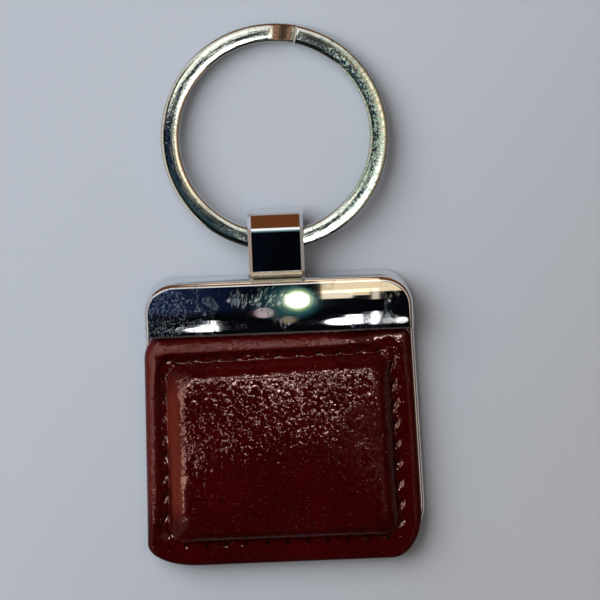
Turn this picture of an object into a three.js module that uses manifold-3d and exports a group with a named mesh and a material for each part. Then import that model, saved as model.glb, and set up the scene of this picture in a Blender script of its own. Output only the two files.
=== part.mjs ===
// Leather key holder: a chromed die-cast frame with a crowned bar across its top, a padded and
// stitched leather facing below the bar, and a flat split key ring held by a hinged loop.
// The holder lies on its back. +Z points out of the leather, +Y runs to the key ring, and the
// origin is the middle of the flat back. All sizes are in millimetres.
import * as THREE from "three";
import { mergeVertices } from "three/addons/utils/BufferGeometryUtils.js";
import Module from "manifold-3d";

const wasm = await Module();
wasm.setup();

// Frame casting
const FRAME_WIDTH = 38.35; // across the bar
const FRAME_FLARE = 0.8; // how much further out each side is at the foot
const FRAME_LENGTH = 41.2;
const FRAME_CORNER = 4.6;
const FOOT_CORNER = 7.4; // hidden under the leather
const PLATE_THICK = 1.8;
const PLATE_BEVEL = 0.3;
const BAR_LENGTH = 8.05; // along Y
const BAR_HEIGHT = 5.2; // from the back to the crown
const BAR_CROWN = 0.3; // fall of the crown to each long edge
const BAR_SHOULDER = 1; // round along the outer long edge
const BAR_LIP = 0.3; // round beside the leather
const BAR_END = 0.6; // round at the short ends

// Hinge in the bar
const PIN_DIAMETER = 1.2;
const PIN_BEARING = 2.15; // of the pin on each side of the shackle
const PIN_DEPTH = 2; // from the bar's outer wall to the pin's axis
const PIN_FIT = 0.05; // gap all round the pin in its trough
const RUNNING_FIT = 0.08; // gap all round the pin in the knuckle
const KNUCKLE_DIAMETER = 2.5;
const POCKET_GAP = 0.15; // gap round the knuckle
const COVER_WIDTH = 27;
const COVER_LENGTH = 4.8;
const COVER_THICK = 0.8;
const COVER_FIT = 0.1;
const COVER_INSET = 1.2; // from the bar's outer wall to the cover
const TAB_INSET = 0.3; // from the bar's outer wall to the tip of the cover's tab
const KEEPER_WIDTH = 1.2; // the two lugs of the cover that bear on the pin
const KEEPER_GAP = 0.03;
const SCREW_INSET = 3; // from an end of the cover
const SCREW_DIAMETER = 1.4;
const SCREW_HEAD = 2.7;
const SCREW_HEAD_DEPTH = 0.65;
const SCREW_LENGTH = 3.2;
const SCREW_FIT = 0.1;
const RECESS_LENGTH = 1.5; // cross recess in the screw head
const RECESS_WIDTH = 0.3;
const RECESS_DEPTH = 0.4;

// Shackle
const SHACKLE_WIDTH = 7.9;
const SHACKLE_THICK = 6.1;
const SHACKLE_REACH = 9.9; // from the bar's outer wall to the tip
const SHACKLE_STRAP = 1;
const SHACKLE_BEVEL = 0.4;
const SHACKLE_LIFT = 0.05; // above the surface that the holder lies on
const FOOT_GAP = 0.35; // between the bar's outer wall and the shackle's foot
const FOOT_WALL = 1.5;
const FOOT_BEND = 0.8; // at the front of the foot
const REAR_BEND = 1.5; // at the rear
const EYE_CORNER = 0.8;
const NECK_THICK = 1.6;

// Split ring
const RING_OUTER = 32.4;
const RING_BAND = 2.65; // radial width of the flat wire
const LEAF_THICK = 1;
const LEAF_GAP = 0.1;
const RING_EDGE = 0.28; // rounded edge of the wire
const RING_SLACK = 2.4; // from the wire to the end of the eye
const RING_SIDE = 0.4; // to the right of the shackle's middle
const RING_START = 77; // degrees, where the front leaf begins, clockwise from there
const RING_TURNS = 692; // degrees of wire
const CROSS_START = 338; // degrees along the wire where it dips to the rear leaf
const CROSS_SPAN = 20;

// Pad: its edge against the frame, its corners, and the insets of its seam and raised middle
const PAD_GAP = 0.3; // between the bar and the leather
const PAD_LEFT_OVERHANG = 0.2;
const PAD_RIGHT_MARGIN = 0.5;
const PAD_FOOT_OVERHANG = 0.4;
const PAD_CORNERS = {
  topRight: { alongX: 0.9, alongY: 1.6 },
  topLeft: { alongX: 1.9, alongY: 3 },
  footLeft: { alongX: 7.4, alongY: 3.4 },
  footRight: { alongX: 4.6, alongY: 7 },
};
const SEAM_CORNER = { top: 2, foot: 3 };
const RAISED_CORNER = 3.2;
const SEAM_INSET = { top: 3.2, left: 2.85, foot: 3, right: 2.9 };
const SEAM_SLANT = 0.3; // the top of the seam is this much higher at its right end, lower at its left
const RAISED_INSET = { top: 5.8, left: 5.45, foot: 5.4, right: 5.35 };
const SHEET_MARGIN = 0.9; // inside the seam
const BOARD_THICK = 0.8;
const LEATHER_THICK = 0.9;
const FOAM_THICK = 2.1;
const FOAM_CROWN = 0.8; // rise of the raised middle over its edge
const CREST_SLOPE = 0.17; // share of an even slope left where the raised middle rounds over
const RIM_RISE = 1.2; // rim of the leather over the board
const CHANNEL_RISE = 0.6; // leather left under the seam
const SKIRT_GAP = 0.05; // between the turned edge and the plate
const SKIRT_ROUND = 0.25; // lower round of the turned edge
const SOFT_GAP = 0.12; // between the leather and what it covers

// Seam
const STITCH_PITCH = 2.9;
const NEEDLE_THREAD = 0.44;
const BOBBIN_THREAD = 0.34;
const THREAD_GAP = 0.03; // between a thread and what it lies on
const HOLE_GAP = 0.15; // each side of the thread in its hole

// Fineness of the rounded shapes
const CORNER_STEPS = 8;
const CROWN_STEPS = 14;
const ROUND_SIDES = 24;
const RING_STEP = 7.5; // degrees
const THREAD_SIDES = 5;
const NEEDLE_STEPS = 5; // to a stitch
const BOBBIN_STEPS = 4;
const CURVE_STEPS = 5; // half the steps of a drawn arc
const MERGE = 1e-4;
const OVERSHOOT = 1; // how far a cutter runs past the face that it opens

// Places that follow from the sizes
const FRAME_TOP = FRAME_LENGTH / 2;
const FRAME_FOOT = -FRAME_LENGTH / 2;
const BAR_HALF = FRAME_WIDTH / 2;
const BAR_LOW = FRAME_TOP - BAR_LENGTH;
const PIN_LENGTH = SHACKLE_WIDTH + 2 * PIN_BEARING;
const PIN_Y = FRAME_TOP - PIN_DEPTH;
const PIN_Z = COVER_THICK + POCKET_GAP + KNUCKLE_DIAMETER / 2;
const SLOT_ROOF = PIN_Z + KNUCKLE_DIAMETER / 2 + POCKET_GAP;
const COVER_TOP = FRAME_TOP - COVER_INSET;
const COVER_MIDDLE = COVER_TOP - COVER_LENGTH / 2;
const EYE_Z = SHACKLE_LIFT + SHACKLE_THICK / 2;
const RING_MEAN = (RING_OUTER - RING_BAND) / 2;
const RING_THICK = 2 * LEAF_THICK + LEAF_GAP;
const RING_Y = FRAME_TOP + SHACKLE_REACH - SHACKLE_STRAP - RING_SLACK - RING_BAND / 2;
const RING_TILT = Math.asin((EYE_Z - RING_THICK / 2) / (RING_OUTER - RING_BAND / 2));
const PAD_TOP = BAR_LOW - PAD_GAP;
const PAD_FOOT = FRAME_FOOT - PAD_FOOT_OVERHANG;
const SHEET_THICK = BOBBIN_THREAD + 2 * THREAD_GAP;
const BOARD_LOW = PLATE_THICK + SHEET_THICK;
const BOARD_TOP = BOARD_LOW + BOARD_THICK;
const SKIRT_LOW = PLATE_THICK + SKIRT_GAP;
const CHANNEL_TOP = BOARD_TOP + CHANNEL_RISE;
const RIM_TOP = BOARD_TOP + RIM_RISE;
const PAD_CROWN = BOARD_TOP + FOAM_THICK + LEATHER_THICK;
const KNOT_Z = BOARD_LOW + BOARD_THICK / 2; // where the two threads meet
const HOLE_LENGTH = (2 * STITCH_PITCH) / NEEDLE_STEPS + NEEDLE_THREAD;
const HOLE_WIDTH = NEEDLE_THREAD + 2 * HOLE_GAP;

// Stations of the pad's section: 0 its edge, 1 the seam, 2 the edge of the raised middle, 3 its centre
const RIM_AT = 0.4;
const CHANNEL_FROM = 0.86;
const CHANNEL_TO = 1.12;
const FOAM_FROM = 1.45;

const lerp = THREE.MathUtils.lerp;
const smoothstep = THREE.MathUtils.smoothstep;
const radians = THREE.MathUtils.degToRad;

// A closed solid for joining and cutting, from a geometry whose shared corners are merged.
function solidOf(geometry) {
  const bare = geometry.clone();
  bare.deleteAttribute("normal");
  bare.deleteAttribute("uv");
  const merged = mergeVertices(bare, MERGE);
  const vertProperties = new Float32Array(merged.attributes.position.array);
  const triVerts = new Uint32Array(merged.index.array);
  return new wasm.Manifold(new wasm.Mesh({ numProp: 3, vertProperties, triVerts }));
}

function geometryOf(solid) {
  const mesh = solid.getMesh();
  const geometry = new THREE.BufferGeometry();
  geometry.setAttribute("position", new THREE.BufferAttribute(mesh.vertProperties, 3));
  geometry.setIndex(new THREE.BufferAttribute(mesh.triVerts, 1));
  geometry.computeVertexNormals();
  return geometry;
}

function cut(solid, geometries) {
  return geometries.reduce((left, geometry) => left.subtract(solidOf(geometry)), solid);
}

function boxBetween(x0, x1, y0, y1, z0, z1) {
  const box = new THREE.BoxGeometry(x1 - x0, y1 - y0, z1 - z0);
  return box.translate((x0 + x1) / 2, (y0 + y1) / 2, (z0 + z1) / 2);
}

// A round bar along X about the given y and z.
function roundBar(radius, length, y, z) {
  const bar = new THREE.CylinderGeometry(radius, radius, length, ROUND_SIDES);
  return bar.rotateZ(Math.PI / 2).translate(0, y, z);
}

// Skin over a stack of rings with equal counts of points, each counter-clockwise as seen from
// the next one. A closed stack joins its last ring to its first, an open one is capped by fans.
function loft(rings, closed = false) {
  const count = rings[0].length;
  const points = rings.flat();
  const index = [];
  const spans = closed ? rings.length : rings.length - 1;
  for (let ring = 0; ring < spans; ring++) {
    const here = ring * count;
    const next = ((ring + 1) % rings.length) * count;
    for (let i = 0; i < count; i++) {
      const j = (i + 1) % count;
      index.push(here + i, here + j, next + j, here + i, next + j, next + i);
    }
  }
  if (!closed) {
    addCap(points, index, 0, count, false);
    addCap(points, index, (rings.length - 1) * count, count, true);
  }
  return new THREE.BufferGeometry().setFromPoints(points).setIndex(index);
}

function addCap(points, index, start, count, forward) {
  const middle = new THREE.Vector3();
  points.slice(start, start + count).forEach((point) => middle.addScaledVector(point, 1 / count));
  const hub = points.push(middle) - 1;
  for (let i = 0; i < count; i++) {
    const here = start + i;
    const next = start + ((i + 1) % count);
    index.push(hub, forward ? here : next, forward ? next : here);
  }
}

// A counter-clockwise outline with each corner rounded by a quarter ellipse. A corner is its
// x and y, and how far the round runs back along the edge before it and along the edge after it.
function roundedLoop(corners, steps = CORNER_STEPS) {
  return corners.flatMap(([x, y, runBefore, runAfter], i) => {
    const corner = new THREE.Vector2(x, y);
    if (runBefore === 0) return [corner];
    const before = new THREE.Vector2(...corners.at(i - 1)).sub(corner).setLength(runBefore);
    const after = new THREE.Vector2(...corners[(i + 1) % corners.length]);
    after.sub(corner).setLength(runAfter);
    return Array.from({ length: steps + 1 }, (_, step) => {
      const angle = (step / steps) * (Math.PI / 2);
      const point = corner.clone().addScaledVector(before, 1 - Math.sin(angle));
      return point.addScaledVector(after, 1 - Math.cos(angle));
    });
  });
}

const raise = (loop, z) => loop.map((point) => new THREE.Vector3(point.x, point.y, z));

// A flat sheet of the given outline between two heights.
function sheet(loop, low, high) {
  const shape = new THREE.Shape(loop);
  const flat = new THREE.ExtrudeGeometry(shape, { depth: high - low, bevelEnabled: false });
  return flat.translate(0, 0, low);
}

// Half the width of the frame: even along the bar, then flaring to the foot.
function frameHalf(y) {
  return BAR_HALF + FRAME_FLARE * Math.max(0, (BAR_LOW - y) / (BAR_LOW - FRAME_FOOT));
}

function framePlate() {
  const foot = frameHalf(FRAME_FOOT);
  const outline = roundedLoop([
    [BAR_HALF, FRAME_TOP, FRAME_CORNER, FRAME_CORNER],
    [-BAR_HALF, FRAME_TOP, FRAME_CORNER, FRAME_CORNER],
    [-BAR_HALF, BAR_LOW, 0, 0],
    [-foot, FRAME_FOOT, FOOT_CORNER, FOOT_CORNER],
    [foot, FRAME_FOOT, FOOT_CORNER, FOOT_CORNER],
    [BAR_HALF, BAR_LOW, 0, 0],
  ]);
  const plate = new THREE.ExtrudeGeometry(new THREE.Shape(outline), {
    depth: PLATE_THICK - 2 * PLATE_BEVEL,
    bevelThickness: PLATE_BEVEL,
    bevelSize: PLATE_BEVEL,
    bevelOffset: -PLATE_BEVEL,
    bevelSegments: 1,
  });
  return plate.translate(0, 0, PLATE_BEVEL);
}

// Where the bar's outer long edge lies at a given x, with its two rounded corners.
function barTop(x) {
  const intoCorner = Math.max(0, Math.abs(x) - (BAR_HALF - FRAME_CORNER));
  return FRAME_TOP - FRAME_CORNER + Math.sqrt(Math.max(0, FRAME_CORNER ** 2 - intoCorner ** 2));
}

// How far a rounded edge has fallen at a distance inside it.
function roundFall(distance, radius) {
  const left = Math.max(0, radius - distance);
  return radius - Math.sqrt(radius ** 2 - Math.min(left, radius) ** 2);
}

function barHeight(x, y) {
  const across = (y - (BAR_LOW + BAR_LENGTH / 2)) / (BAR_LENGTH / 2);
  const crown = BAR_HEIGHT - BAR_CROWN * across ** 2;
  const outer = roundFall(barTop(x) - y, BAR_SHOULDER);
  const lip = roundFall(y - BAR_LOW, BAR_LIP);
  const end = roundFall(BAR_HALF - Math.abs(x), BAR_END);
  return crown - outer - lip - end;
}

// One section of the bar across Y, from the lower long edge round to the crown.
function barSection(x) {
  const depth = barTop(x) - BAR_LOW;
  const section = [BAR_LOW, BAR_LOW + depth].map((y) => new THREE.Vector3(x, y, PLATE_BEVEL));
  for (let step = 0; step <= CROWN_STEPS; step++) {
    const y = BAR_LOW + (depth * (1 + Math.cos((step / CROWN_STEPS) * Math.PI))) / 2;
    section.push(new THREE.Vector3(x, y, barHeight(x, y)));
  }
  return section;
}

function frameBar() {
  const corner = Array.from({ length: CORNER_STEPS + 1 }, (_, step) => {
    return BAR_HALF - FRAME_CORNER * (1 - Math.sin((step / CORNER_STEPS) * (Math.PI / 2)));
  });
  const stations = [...corner.map((x) => -x).reverse(), ...corner];
  return loft(stations.map(barSection));
}

function coverOutline(grow) {
  const half = COVER_WIDTH / 2 + grow;
  const tab = SHACKLE_WIDTH / 2 - COVER_FIT + grow;
  const low = COVER_TOP - COVER_LENGTH - grow;
  const high = COVER_TOP + grow;
  const tip = FRAME_TOP - TAB_INSET + grow;
  const corners = [[half, low], [half, high], [tab, high], [tab, tip]];
  const mirrored = corners.map(([x, y]) => [-x, y]).reverse();
  return [...corners, ...mirrored].map(([x, y]) => new THREE.Vector2(x, y));
}

const screwPlaces = { left: SCREW_INSET - COVER_WIDTH / 2, right: COVER_WIDTH / 2 - SCREW_INSET };

// A countersunk screw standing on its head or, with a gap all round, the hole for one.
function screwBody(x, gap = 0) {
  const head = SCREW_HEAD / 2 + gap;
  const shank = SCREW_DIAMETER / 2 + gap;
  const tip = SCREW_LENGTH + gap;
  const profile = [[0, 0], [head, 0], [shank, SCREW_HEAD_DEPTH], [shank, tip], [0, tip]];
  if (gap > 0) profile.splice(0, 1, [0, -OVERSHOOT], [head, -OVERSHOOT]);
  const points = profile.map(([radius, z]) => new THREE.Vector2(radius, z));
  const body = new THREE.LatheGeometry(points, ROUND_SIDES).rotateX(Math.PI / 2);
  return body.translate(x, COVER_MIDDLE, 0);
}

function frameCasting() {
  const slot = SHACKLE_WIDTH / 2 + POCKET_GAP;
  const pocket = PIN_Y - KNUCKLE_DIAMETER / 2 - POCKET_GAP;
  const trough = PIN_DIAMETER / 2 + PIN_FIT;
  const troughHalf = PIN_LENGTH / 2 + PIN_FIT;
  const solid = solidOf(framePlate()).add(solidOf(frameBar()));
  return geometryOf(
    cut(solid, [
      boxBetween(-slot, slot, pocket, FRAME_TOP + OVERSHOOT, -OVERSHOOT, SLOT_ROOF),
      boxBetween(-troughHalf, troughHalf, PIN_Y - trough, PIN_Y + trough, -OVERSHOOT, PIN_Z),
      roundBar(trough, 2 * troughHalf, PIN_Y, PIN_Z),
      sheet(coverOutline(COVER_FIT), -OVERSHOOT, COVER_THICK),
      ...Object.values(screwPlaces).map((x) => screwBody(x, SCREW_FIT)),
    ]),
  );
}

function hingePin() {
  return roundBar(PIN_DIAMETER / 2, PIN_LENGTH, PIN_Y, PIN_Z);
}

function hingeCover() {
  const keeperTop = PIN_Z - PIN_DIAMETER / 2 - KEEPER_GAP;
  const keeperFrom = SHACKLE_WIDTH / 2 + POCKET_GAP;
  const lug = PIN_DIAMETER / 2;
  const overlap = COVER_THICK / 2;
  let solid = solidOf(sheet(coverOutline(0), 0, COVER_THICK));
  for (const side of [-1, 1]) {
    const edges = [side * keeperFrom, side * (keeperFrom + KEEPER_WIDTH)].sort((a, b) => a - b);
    const keeper = boxBetween(...edges, PIN_Y - lug, PIN_Y + lug, overlap, keeperTop);
    solid = solid.add(solidOf(keeper));
  }
  return geometryOf(cut(solid, Object.values(screwPlaces).map((x) => screwBody(x, SCREW_FIT))));
}

function coverScrew(x) {
  const long = RECESS_LENGTH / 2;
  const thin = RECESS_WIDTH / 2;
  const y = COVER_MIDDLE;
  return geometryOf(
    cut(solidOf(screwBody(x)), [
      boxBetween(x - long, x + long, y - thin, y + thin, -OVERSHOOT, RECESS_DEPTH),
      boxBetween(x - thin, x + thin, y - long, y + long, -OVERSHOOT, RECESS_DEPTH),
    ]),
  );
}

// Side view of the shackle with the pin's axis at its origin, the tip to the right.
function shackleOutline() {
  const radius = SHACKLE_THICK / 2;
  const eye = EYE_Z - PIN_Z;
  const tip = PIN_DEPTH + SHACKLE_REACH;
  const foot = PIN_DEPTH + FOOT_GAP;
  const neck = NECK_THICK / 2;
  const knuckle = KNUCKLE_DIAMETER / 2;
  const neckAngle = Math.asin(neck / knuckle);
  const bendLow = eye - radius + REAR_BEND;
  const rearStart = Math.PI + Math.asin(THREE.MathUtils.clamp((bendLow + neck) / REAR_BEND, 0, 1));
  const outline = new THREE.Shape();
  outline.absarc(0, 0, knuckle, neckAngle, 2 * Math.PI - neckAngle, false);
  outline.absarc(foot + REAR_BEND, bendLow, REAR_BEND, rearStart, 1.5 * Math.PI, false);
  outline.absarc(tip - radius, eye, radius, -Math.PI / 2, Math.PI / 2, false);
  outline.absarc(foot + FOOT_BEND, eye + radius - FOOT_BEND, FOOT_BEND, Math.PI / 2, Math.PI, false);
  outline.lineTo(foot, neck);
  outline.closePath();
  outline.holes.push(shackleEye(foot + FOOT_WALL, tip - radius, eye, radius - SHACKLE_STRAP));
  return outline;
}

function shackleEye(from, to, middle, half) {
  const inset = EYE_CORNER;
  const hole = new THREE.Path();
  hole.absarc(to, middle, half, Math.PI / 2, -Math.PI / 2, true);
  hole.absarc(from + inset, middle - half + inset, inset, -Math.PI / 2, -Math.PI, true);
  hole.absarc(from + inset, middle + half - inset, inset, Math.PI, Math.PI / 2, true);
  hole.closePath();
  return hole;
}

// The side view drawn out along X, with its edges bevelled, then bored for the pin.
function shackle() {
  const body = new THREE.ExtrudeGeometry(shackleOutline(), {
    depth: SHACKLE_WIDTH - 2 * SHACKLE_BEVEL,
    bevelThickness: SHACKLE_BEVEL,
    bevelSize: SHACKLE_BEVEL,
    bevelOffset: -SHACKLE_BEVEL,
    bevelSegments: 2,
    curveSegments: CURVE_STEPS,
  });
  body.translate(0, 0, SHACKLE_BEVEL - SHACKLE_WIDTH / 2);
  const toSide = new THREE.Matrix4().makeBasis(
    new THREE.Vector3(0, 1, 0),
    new THREE.Vector3(0, 0, 1),
    new THREE.Vector3(1, 0, 0),
  );
  const bore = roundBar(PIN_DIAMETER / 2 + RUNNING_FIT, SHACKLE_WIDTH + 2 * OVERSHOOT, 0, 0);
  return geometryOf(cut(solidOf(body.applyMatrix4(toSide)), [bore]));
}

// Flat wire wound clockwise through almost two turns about a centre on +Y. It starts on the
// front leaf, dips to the rear one after a turn, and ends just short of the dip.
function splitRing() {
  const wide = RING_BAND / 2;
  const thin = LEAF_THICK / 2;
  const wire = roundedLoop(
    [[wide, thin], [-wide, thin], [-wide, -thin], [wide, -thin]].map(([radial, axial]) => {
      return [radial, axial, RING_EDGE, RING_EDGE];
    }),
    1,
  );
  const step = RING_TURNS / Math.ceil(RING_TURNS / RING_STEP);
  const rings = [];
  for (let turned = 0; turned <= RING_TURNS + step / 2; turned += step) {
    const angle = radians(RING_START - turned);
    const dip = smoothstep(turned, CROSS_START, CROSS_START + CROSS_SPAN);
    const level = (LEAF_THICK + LEAF_GAP) * (0.5 - dip);
    const section = wire.map(({ x: radial, y: axial }) => {
      const reach = RING_MEAN + radial;
      const y = RING_MEAN + reach * Math.sin(angle);
      return new THREE.Vector3(reach * Math.cos(angle), y, level + axial);
    });
    rings.push(section);
  }
  return loft(rings);
}

// How far the pad's outline at a station lies inside its edge, on one side.
function padInset(side, station) {
  const span = side === "top" || side === "foot" ? PAD_TOP - PAD_FOOT : 2 * BAR_HALF;
  if (station <= 1) return station * SEAM_INSET[side];
  if (station <= 2) return lerp(SEAM_INSET[side], RAISED_INSET[side], station - 1);
  return lerp(RAISED_INSET[side], span / 2, station - 2);
}

function padRun(run, seamRun, station) {
  if (station <= 1) return lerp(run, seamRun, station);
  if (station <= 2) return lerp(seamRun, RAISED_CORNER, station - 1);
  return RAISED_CORNER * (3 - station);
}

// Outline of the pad at a station, drawn in by a further even inset.
function padLoop(station, further = 0) {
  const top = PAD_TOP - padInset("top", station) - further;
  const foot = PAD_FOOT + padInset("foot", station) + further;
  const left = (y) => padInset("left", station) + further - frameHalf(y) - PAD_LEFT_OVERHANG;
  const right = (y) => frameHalf(y) - PAD_RIGHT_MARGIN - padInset("right", station) - further;
  const slant = SEAM_SLANT * Math.min(station, 1, 3 - station);
  const run = (corner, along) => {
    const seamRun = corner.startsWith("top") ? SEAM_CORNER.top : SEAM_CORNER.foot;
    return padRun(PAD_CORNERS[corner][along], seamRun, station);
  };
  return roundedLoop([
    [right(top), top + slant, run("topRight", "alongY"), run("topRight", "alongX")],
    [left(top), top - slant, run("topLeft", "alongX"), run("topLeft", "alongY")],
    [left(foot), foot, run("footLeft", "alongY"), run("footLeft", "alongX")],
    [right(foot), foot, run("footRight", "alongX"), run("footRight", "alongY")],
  ]);
}

// Height of the leather at a station: a rounded rim, the sewn channel, then the raised middle.
function leatherHeight(station) {
  if (station <= RIM_AT) {
    const round = Math.sqrt(1 - (1 - station / RIM_AT) ** 2);
    return lerp(BOARD_TOP, RIM_TOP, round);
  }
  if (station <= CHANNEL_TO) {
    return lerp(RIM_TOP, CHANNEL_TOP, smoothstep(station, RIM_AT, CHANNEL_FROM));
  }
  const edge = PAD_CROWN - FOAM_CROWN;
  if (station <= 2) {
    const up = (station - CHANNEL_TO) / (2 - CHANNEL_TO);
    return lerp(CHANNEL_TOP, edge, lerp(up * (2 - up), up, CREST_SLOPE));
  }
  return edge + FOAM_CROWN * (1 - (3 - station) ** 2);
}

const SKIN_STATIONS = [0.03, 0.12, 0.25, RIM_AT, 0.65, 0.75, CHANNEL_FROM, CHANNEL_TO];
const RAISED_STATIONS = [1.3, 1.5, 1.7, 1.85, 2, 2.3, 2.65];

function foamPad(grow = 0) {
  const base = grow > 0 ? BOARD_TOP - OVERSHOOT : BOARD_TOP;
  const stations = RAISED_STATIONS.filter((station) => station > FOAM_FROM);
  const rings = [raise(padLoop(FOAM_FROM, -grow), base)];
  for (const station of stations) {
    const height = leatherHeight(station) - LEATHER_THICK + grow;
    rings.push(raise(padLoop(station, -grow), height));
  }
  return loft(rings);
}

// Evenly spaced points along the seam, a whole number of steps to each stitch.
function seamPoints(stepsPerStitch) {
  const loop = padLoop(1);
  const path = new THREE.Path([...loop, loop[0]]);
  const stitches = Math.round(path.getLength() / STITCH_PITCH);
  return path.getSpacedPoints(stitches * stepsPerStitch).slice(0, -1);
}

// Slits through the leather and the board, one for each stitch, turned along the seam.
function seamHoles() {
  const points = seamPoints(1);
  return points.map((point, i) => {
    const along = points[(i + 1) % points.length].clone().sub(points.at(i - 1));
    const hole = boxBetween(
      -HOLE_LENGTH / 2, HOLE_LENGTH / 2, -HOLE_WIDTH / 2, HOLE_WIDTH / 2,
      BOARD_LOW - OVERSHOOT, PAD_CROWN,
    );
    return hole.rotateZ(along.angle()).translate(point.x, point.y, 0);
  });
}

function backingBoard() {
  const board = sheet(padLoop(0, LEATHER_THICK), BOARD_LOW, BOARD_TOP);
  return geometryOf(cut(solidOf(board), seamHoles()));
}

function bondingSheet() {
  return sheet(padLoop(1, SHEET_MARGIN), PLATE_THICK, BOARD_LOW);
}

function leatherFacing() {
  const rings = [
    raise(padLoop(0, SKIRT_ROUND), SKIRT_LOW),
    raise(padLoop(0), SKIRT_LOW + SKIRT_ROUND),
    raise(padLoop(0), BOARD_TOP),
  ];
  for (const station of [...SKIN_STATIONS, ...RAISED_STATIONS]) {
    rings.push(raise(padLoop(station), leatherHeight(station)));
  }
  const boardSpace = sheet(padLoop(0, LEATHER_THICK - SOFT_GAP), SKIRT_LOW - OVERSHOOT, BOARD_TOP);
  return geometryOf(cut(solidOf(loft(rings)), [boardSpace, foamPad(SOFT_GAP), ...seamHoles()]));
}

// One unbroken thread round the seam, at one height in each hole and at another between them.
function sewnThread(diameter, steps, inHole, between) {
  const centres = seamPoints(steps).map((point, i) => {
    return new THREE.Vector3(point.x, point.y, i % steps === 0 ? inHole : between);
  });
  const rings = centres.map((centre, i) => {
    const before = centres.at(i - 1);
    const after = centres[(i + 1) % centres.length];
    const along = after.clone().sub(before).normalize();
    const side = new THREE.Vector3(-along.y, along.x, 0).normalize();
    const up = along.clone().cross(side);
    return Array.from({ length: THREAD_SIDES }, (_, corner) => {
      const angle = (corner / THREAD_SIDES) * 2 * Math.PI;
      const point = centre.clone().addScaledVector(side, (diameter / 2) * Math.cos(angle));
      return point.addScaledVector(up, (diameter / 2) * Math.sin(angle));
    });
  });
  return loft(rings, true);
}

// The needle thread lies in the channel and dips into each hole, half way through the board.
function needleThread() {
  const half = NEEDLE_THREAD / 2;
  const inHole = KNOT_Z + THREAD_GAP + BOBBIN_THREAD / 2 + half;
  return sewnThread(NEEDLE_THREAD, NEEDLE_STEPS, inHole, CHANNEL_TOP + THREAD_GAP + half);
}

// The bobbin thread lies under the board and rises into each hole to meet the needle thread.
function bobbinThread() {
  const half = BOBBIN_THREAD / 2;
  const inHole = KNOT_Z - THREAD_GAP - half;
  return sewnThread(BOBBIN_THREAD, BOBBIN_STEPS, inHole, BOARD_LOW - THREAD_GAP - half);
}

const FINISHES = {
  chrome: { color: 0xd6d8da, roughness: 0.08, metalness: 1 },
  steel: { color: 0xb4b8b0, roughness: 0.22, metalness: 1 },
  leather: { color: 0x4d070b, roughness: 0.35, metalness: 0 },
  thread: { color: 0x35080a, roughness: 0.7, metalness: 0 },
  foam: { color: 0xd8d2bd, roughness: 0.95, metalness: 0 },
  board: { color: 0x6d5239, roughness: 0.9, metalness: 0 },
  film: { color: 0xc9c4b4, roughness: 0.5, metalness: 0 },
};

function piece(name, geometry, finish) {
  const mesh = new THREE.Mesh(geometry, new THREE.MeshStandardMaterial(FINISHES[finish]));
  mesh.name = name;
  return mesh;
}

const ring = new THREE.Group();
ring.position.set(RING_SIDE, RING_Y - PIN_Y, EYE_Z - PIN_Z);
ring.rotation.x = -RING_TILT;
ring.add(piece("split_ring", splitRing(), "steel"));

const hinge = new THREE.Group();
hinge.position.set(0, PIN_Y, PIN_Z);
hinge.add(piece("shackle", shackle(), "chrome"), ring);

const keyHolder = new THREE.Group();
keyHolder.add(
  piece("frame_casting", frameCasting(), "chrome"),
  piece("hinge_pin", hingePin(), "steel"),
  piece("hinge_cover", hingeCover(), "chrome"),
  piece("bonding_sheet", bondingSheet(), "film"),
  piece("backing_board", backingBoard(), "board"),
  piece("foam_pad", foamPad(), "foam"),
  piece("leather_facing", leatherFacing(), "leather"),
  piece("needle_thread", needleThread(), "thread"),
  piece("bobbin_thread", bobbinThread(), "thread"),
  hinge,
);
for (const [side, x] of Object.entries(screwPlaces)) {
  keyHolder.add(piece(`cover_screw_${side}`, coverScrew(x), "steel"));
}

export default keyHolder;
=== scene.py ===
import bmesh
import bpy
import numpy as np
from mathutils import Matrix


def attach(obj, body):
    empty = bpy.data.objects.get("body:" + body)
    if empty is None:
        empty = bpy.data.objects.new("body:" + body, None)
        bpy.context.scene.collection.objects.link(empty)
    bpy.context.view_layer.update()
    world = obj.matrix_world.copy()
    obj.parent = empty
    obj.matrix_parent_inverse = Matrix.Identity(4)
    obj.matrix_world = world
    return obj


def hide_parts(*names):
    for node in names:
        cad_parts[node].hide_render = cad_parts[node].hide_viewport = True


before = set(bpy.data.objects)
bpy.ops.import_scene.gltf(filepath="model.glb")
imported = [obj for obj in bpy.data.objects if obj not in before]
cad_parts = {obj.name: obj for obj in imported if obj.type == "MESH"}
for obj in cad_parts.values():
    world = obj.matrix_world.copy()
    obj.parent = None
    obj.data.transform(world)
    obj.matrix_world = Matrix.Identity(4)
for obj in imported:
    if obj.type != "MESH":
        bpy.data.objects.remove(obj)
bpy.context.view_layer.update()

# The view: the holder lies on its back and is seen from almost straight above, leaning a little
# towards the key ring and turned a little to the left. The picture is 600 by 600.
VIEW_PLACE = (0.00169, 0.18512, 1.0)  # metres
VIEW_TILT, VIEW_SIDE, VIEW_TURN = 9.57, 0.08, 2.3  # degrees
VIEW_FOCUS = 7084 / 600  # focal length over the picture's width
VIEW_NEAR, VIEW_FAR = 0.05, 10.0
SENSOR = 36.0
camera = bpy.data.objects.new("camera", bpy.data.cameras.new("camera"))
bpy.context.scene.collection.objects.link(camera)
camera.data.sensor_width = SENSOR
camera.data.lens = SENSOR * VIEW_FOCUS
camera.data.clip_start, camera.data.clip_end = VIEW_NEAR, VIEW_FAR
camera.location = VIEW_PLACE
camera.rotation_mode = "ZYX"
camera.rotation_euler = np.radians([-VIEW_TILT, -VIEW_SIDE, -VIEW_TURN])
bpy.context.scene.camera = camera

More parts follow.
